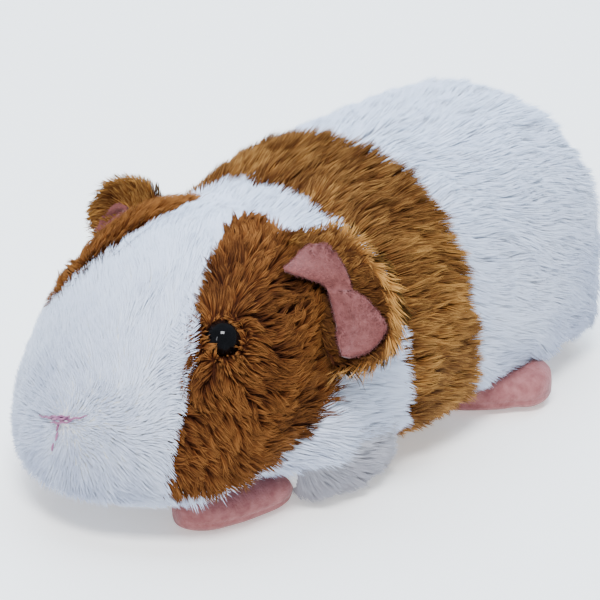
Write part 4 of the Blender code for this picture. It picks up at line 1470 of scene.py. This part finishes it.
def limb_surface(limb, side, grow, share, angle):
    """A rounded roll on the floor along a line of (x, y, half width); grow moves its surface outwards."""
    line, height = limb
    steps = np.linspace(0.0, 1.0, len(line))
    tables = [np.column_stack([steps, column]) for column in np.array(line, float).T * MM]
    x, y, half_width = (through(table, share) for table in tables)
    first_end = rounding(share, LIMB_ROUND, LIMB_ROUND_POWER)
    ends = first_end * rounding(1.0 - share, LIMB_ROUND, LIMB_ROUND_POWER)
    dx, dy = (through(table, share + 0.01) - through(table, share - 0.01) for table in tables[:2])
    length = np.hypot(dx, dy)
    across, up = superellipse(angle, LIMB_POWER)
    wide = (half_width * ends + grow) * across
    half_height = height / 2.0 * (LIMB_END_HEIGHT + (1.0 - LIMB_END_HEIGHT) * ends) + grow
    level = height / 2.0 - LIMB_SINK + half_height * up
    return np.stack([side * (x - dy / length * wide), y + dx / length * wide, level], axis=-1)


def limb_rings(limb, side, grow, low, high, rows, columns):
    """Rings of a limb from share low to share high, closer together at its ends."""
    bend = np.linspace(0.0, math.pi, rows)
    share, angle = ring_grid(low + (high - low) * (1.0 - np.cos(bend)) / 2.0, columns)
    rings = limb_surface(limb, side, grow, share, angle)
    rings[..., 2] = np.maximum(rings[..., 2], LIMB_LOWEST)
    return rings


print("the limbs are", [round(height / MM, 1) for _, height in (FORELEG, FOREPAW, HIND_FOOT)], "mm high")

# %% [markdown]
# ## Forelegs
# The forelegs are white plush like the body, so they get a backing and a pile in the same way. Pile all round
# would be wasted: only the outer side of a leg shows, and only there does it grow.

# %% Forelegs
LEG_DEPTH, LEG_SALT, LEG_SHOWS_FROM = 3.4 * MM, 400, 27.0 * MM
LEG_FLOOR_DENSITY, LEG_SHADE = 0.2, -0.5


def leg_density(points):
    """Few tufts where the leg lies on the floor."""
    return np.where(points[:, 2] < 2.0 * MM, LEG_FLOOR_DENSITY, 1.0)


def make_foreleg(side_name, side):
    """The backing of a foreleg, a pile's depth inside it, and its pile, which hangs down and outwards."""
    rings = limb_rings(FORELEG, side, -LEG_DEPTH, 0.05, 0.93, 30, 40)
    leg = closed_tube("foreleg_backing_" + side_name, rings, BACKING)
    point_values(leg, "brown", np.zeros(len(leg.data.vertices)))
    place(leg, "white_plush", ("foreleg_" + side_name,))

    def surface(a, b):
        """The foreleg's outline at the tips of its pile."""
        return limb_surface(FORELEG, side, 0.0, a, b)

    roots = scatter(surface, (0.02, 0.94), FROM_BELOW, -side, BODY_TUFTS, leg_density)
    roots["depth"] = np.full(len(roots["a"]), LEG_DEPTH)
    # Painted shade low on the leg, near the floor.
    roots["shade"] = LEG_SHADE * (1.0 - step_up(roots["point"][:, 2], 4.0 * MM, 26.0 * MM))
    roots["root"] = roots["point"] - LEG_DEPTH * roots["out"]
    lie = np.array([0.35 * side, 0.5, -0.6]) - 0.4 * roots["along"]
    roots["lie"] = along_cloth(lie, roots["out"])
    showing = pick(roots, np.abs(roots["point"][:, 0]) > LEG_SHOWS_FROM)
    grow_panel("foreleg_pile_" + side_name, SHADED_LEG_PILE, "white_plush", showing, LEG_STYLE, LEG_SALT + int(side))


print("pile on a foreleg shows from", round(LEG_SHOWS_FROM / MM, 1), "mm off the midline")

# %% [markdown]
# ## Feet
# The paws and hind feet are stuffed velour, with a seam low along the side and a dent where the stuffing
# gives. These could be sculpted by hand. As bell curves of the angle and the share, they draw each
# ring in a little towards its middle, and the four feet differ only in a few numbers. Each side's
# leg and feet are made together.

# %% Feet
FOOT_ROWS, FOOT_COLUMNS, FOOT_END = 70, 64, 0.985
FOOT_INSET, FOOT_LOWEST = 0.15 * MM, 0.25 * MM
SEAM_DEPTH, SEAM_WIDTH = 0.05, 0.10
DENT_AT, DENT_WIDTH, WRINKLE_DEPTH = 0.62, 0.07, 0.012


def make_foot(name, limb, side, low, dent, node):
    """A velour foot: each ring drawn in by a seam, a dent and fine wrinkles, as shares of its size."""
    rings = limb_rings(limb, side, -FOOT_INSET, low, FOOT_END, FOOT_ROWS, FOOT_COLUMNS)
    share, angle = (grid[..., None] for grid in ring_grid(np.linspace(0.0, 1.0, FOOT_ROWS), FOOT_COLUMNS))
    upper = np.maximum(np.sin(angle), 0.0)
    seam = SEAM_DEPTH * np.exp(-(((np.sin(angle) + 0.25) / SEAM_WIDTH) ** 2))
    pinch = dent * np.exp(-(((share - DENT_AT) / DENT_WIDTH) ** 2)) * (0.4 + 0.6 * upper)
    wrinkle = WRINKLE_DEPTH * np.sin(40.0 * share + 3.0 * np.sin(2.0 * angle)) * upper
    middle = rings.mean(axis=1, keepdims=True)
    rings = middle + (rings - middle) * (1.0 - seam - pinch - wrinkle)
    rings[..., 2] = np.maximum(rings[..., 2], FOOT_LOWEST)
    foot = closed_tube(name, rings, FOOT_VELOUR)
    place(foot, "pink_velour", (node,))
    print(name, "is", (np.ptp(rings.reshape(-1, 3), axis=0) / MM).round(1), "mm")


for side_name, side in SIDES:
    make_foreleg(side_name, side)
    make_foot("velour_paw_" + side_name, FOREPAW, side, 0.03, 0.03, "forepaw_" + side_name)
    make_foot("velour_foot_" + side_name, HIND_FOOT, side, 0.015, 0.14, "hind_foot_" + side_name)

# %% [markdown]
# ## Eyes
# Each eye is a polished black dome on a stalk through the cloth. Half a ball would do, but a whole one made
# of rings is closed by itself, and only its front shows between the tips of the pile. A faint mottle
# of dust keeps the black from being quite even.

# %% Eyes
EYE_ROWS, EYE_COLUMNS = 24, 40


def mottled_material(name, per_metre, stops, **finish):
    """A finish whose colour wanders between two stops of a ramp with cloudy numbers."""
    material, tree, shader = new_material(name, **finish)
    tree.links.new(add_ramp(tree, add_noise(tree, per_metre), stops), shader.inputs["Base Color"])
    return material


DUST = ((0.4, (0.0015, 0.0015, 0.002)), (0.75, (0.003, 0.003, 0.004)))
BLACK_EYE = mottled_material("black_eye", 420.0, DUST, roughness=0.03, specular=0.2)


def make_eye(name, centre, out, node):
    """A ball whose rings run round the direction that the eye looks in, by cosine and sine of the tilt."""
    tilt = np.linspace(0.0, math.pi, EYE_ROWS + 2)[1:-1, None, None]
    turn = np.linspace(0.0, 2.0 * math.pi, EYE_COLUMNS, endpoint=False)[None, :, None]
    across = unit(np.cross(out, [0.0, 0.0, 1.0]))
    up = np.cross(across, out)
    rings = np.cos(tilt) * out + np.sin(tilt) * (np.cos(turn) * across + np.sin(turn) * up)
    tips = (centre + EYE_RADIUS * out, centre - EYE_RADIUS * out)
    piece = closed_tube(name, centre + EYE_RADIUS * rings, BLACK_EYE, tips)
    place(piece, "black_eye", (node,))


for (side_name, _), (centre, out) in zip(SIDES, EYES):
    make_eye("dome_eye_" + side_name, centre, out, "eye_" + side_name)
print("dome eyes of", round(2.0 * EYE_RADIUS / MM, 1), "mm")

# %% [markdown]
# ## Nose and mouth
# A few strands of embroidery thread are sewn through the muzzle in a shallow V, with a short row of
# stitches below. A painted line would lie on the tips of the pile. Real thread sinks in, so each
# strand is a thin tube along a curve that lies just under them.

# %% Nose and mouth
NOSE_HALF_WIDTH, NOSE_RISE, NOSE_TILT, NOSE_WAVE = 8.5 * MM, 0.4 * MM, 2.6 * MM, 0.15 * MM
STRAND_RADIUS, STRAND_CORNERS, STRAND_END, MOUTH_LEAN = 0.34 * MM, 8, 0.15, 0.03
THREAD_PINKS = ((0.3, (0.20, 0.055, 0.13)), (0.7, (0.36, 0.14, 0.26)))
THREAD = mottled_material("pink_thread", 900.0, THREAD_PINKS, roughness=0.55, sheen=0.3)


def strand_rings(path):
    """Rings round a path, thinned towards its ends by the square root of the sine."""
    around = np.linspace(0.0, 2.0 * math.pi, STRAND_CORNERS, endpoint=False)[None, :, None]
    ahead = unit(np.gradient(path, axis=0))
    side = unit(np.cross(ahead, [0.0, 1.0, 0.0]) + 1e-9)
    over = np.cross(ahead, side)
    half_turn = np.linspace(STRAND_END, math.pi - STRAND_END, len(path))
    thin = STRAND_RADIUS * np.sqrt(np.sin(half_turn))[:, None, None]
    return path[:, None, :] + thin * (np.cos(around) * side[:, None, :] + np.sin(around) * over[:, None, :])


def make_strands(name, paths, node):
    """Several strands joined in one piece: each one's faces count on from the points before it."""
    strands, base = [], 0
    for path in paths:
        points, quads, caps = tube_arrays(strand_rings(path), (path[0], path[-1]))
        strands.append((points, quads + base, caps + base))
        base += len(points)
    piece = build_mesh(name, *(np.concatenate(arrays) for arrays in zip(*strands)), THREAD)
    place(piece, "pink_thread", (node,))
    print(name, len(paths), "strands")


def nose_path(low, high, raised, depth):
    """A strand across the nose: a tilted parabola with a small wave, so deep in the pile."""
    s = np.linspace(low, high, 24)
    wave = NOSE_WAVE * np.sin(19.0 * s + 9.0 * raised)
    z = NOSE_Z + NOSE_RISE * s**2 + NOSE_TILT * s + raised * MM * (1.0 - s**2) + wave
    return muzzle_point(NOSE_HALF_WIDTH * s, z) + np.array([0.0, depth * MM, 0.0])


def mouth_path(x, start, length, depth):
    """A stitch down the lip, leaning a little, from so far below the nose."""
    z = np.linspace(NOSE_Z - start * MM, NOSE_Z - start * MM - length * MM, 16)
    return muzzle_point(x * MM + MOUTH_LEAN * (z - NOSE_Z), z) + np.array([0.0, depth * MM, 0.0])


# Each strand runs from low to high, as shares of the half width, raised and so deep in millimetres.
NOSE_STRANDS = (
    (-1.0, 0.35, 0.1, 1.45),
    (-0.35, 0.95, -0.3, 1.35),
    (-0.5, 0.4, 0.7, 0.8),
    (-0.3, 0.5, -0.9, 0.9),
    (-0.2, 0.3, 0.25, 0.5),
)
# Each stitch is so far to the side, starts so far below the nose, and is so long and so deep.
MOUTH_STITCHES = ((0.1, 1.0, 2.2, 1.3), (0.5, 3.2, 2.4, 1.4), (-0.2, 6.4, 2.2, 1.5))
make_strands("nose_thread", [nose_path(*strand) for strand in NOSE_STRANDS], "nose_stitching")
make_strands("mouth_thread", [mouth_path(*stitch) for stitch in MOUTH_STITCHES], "mouth_stitching")
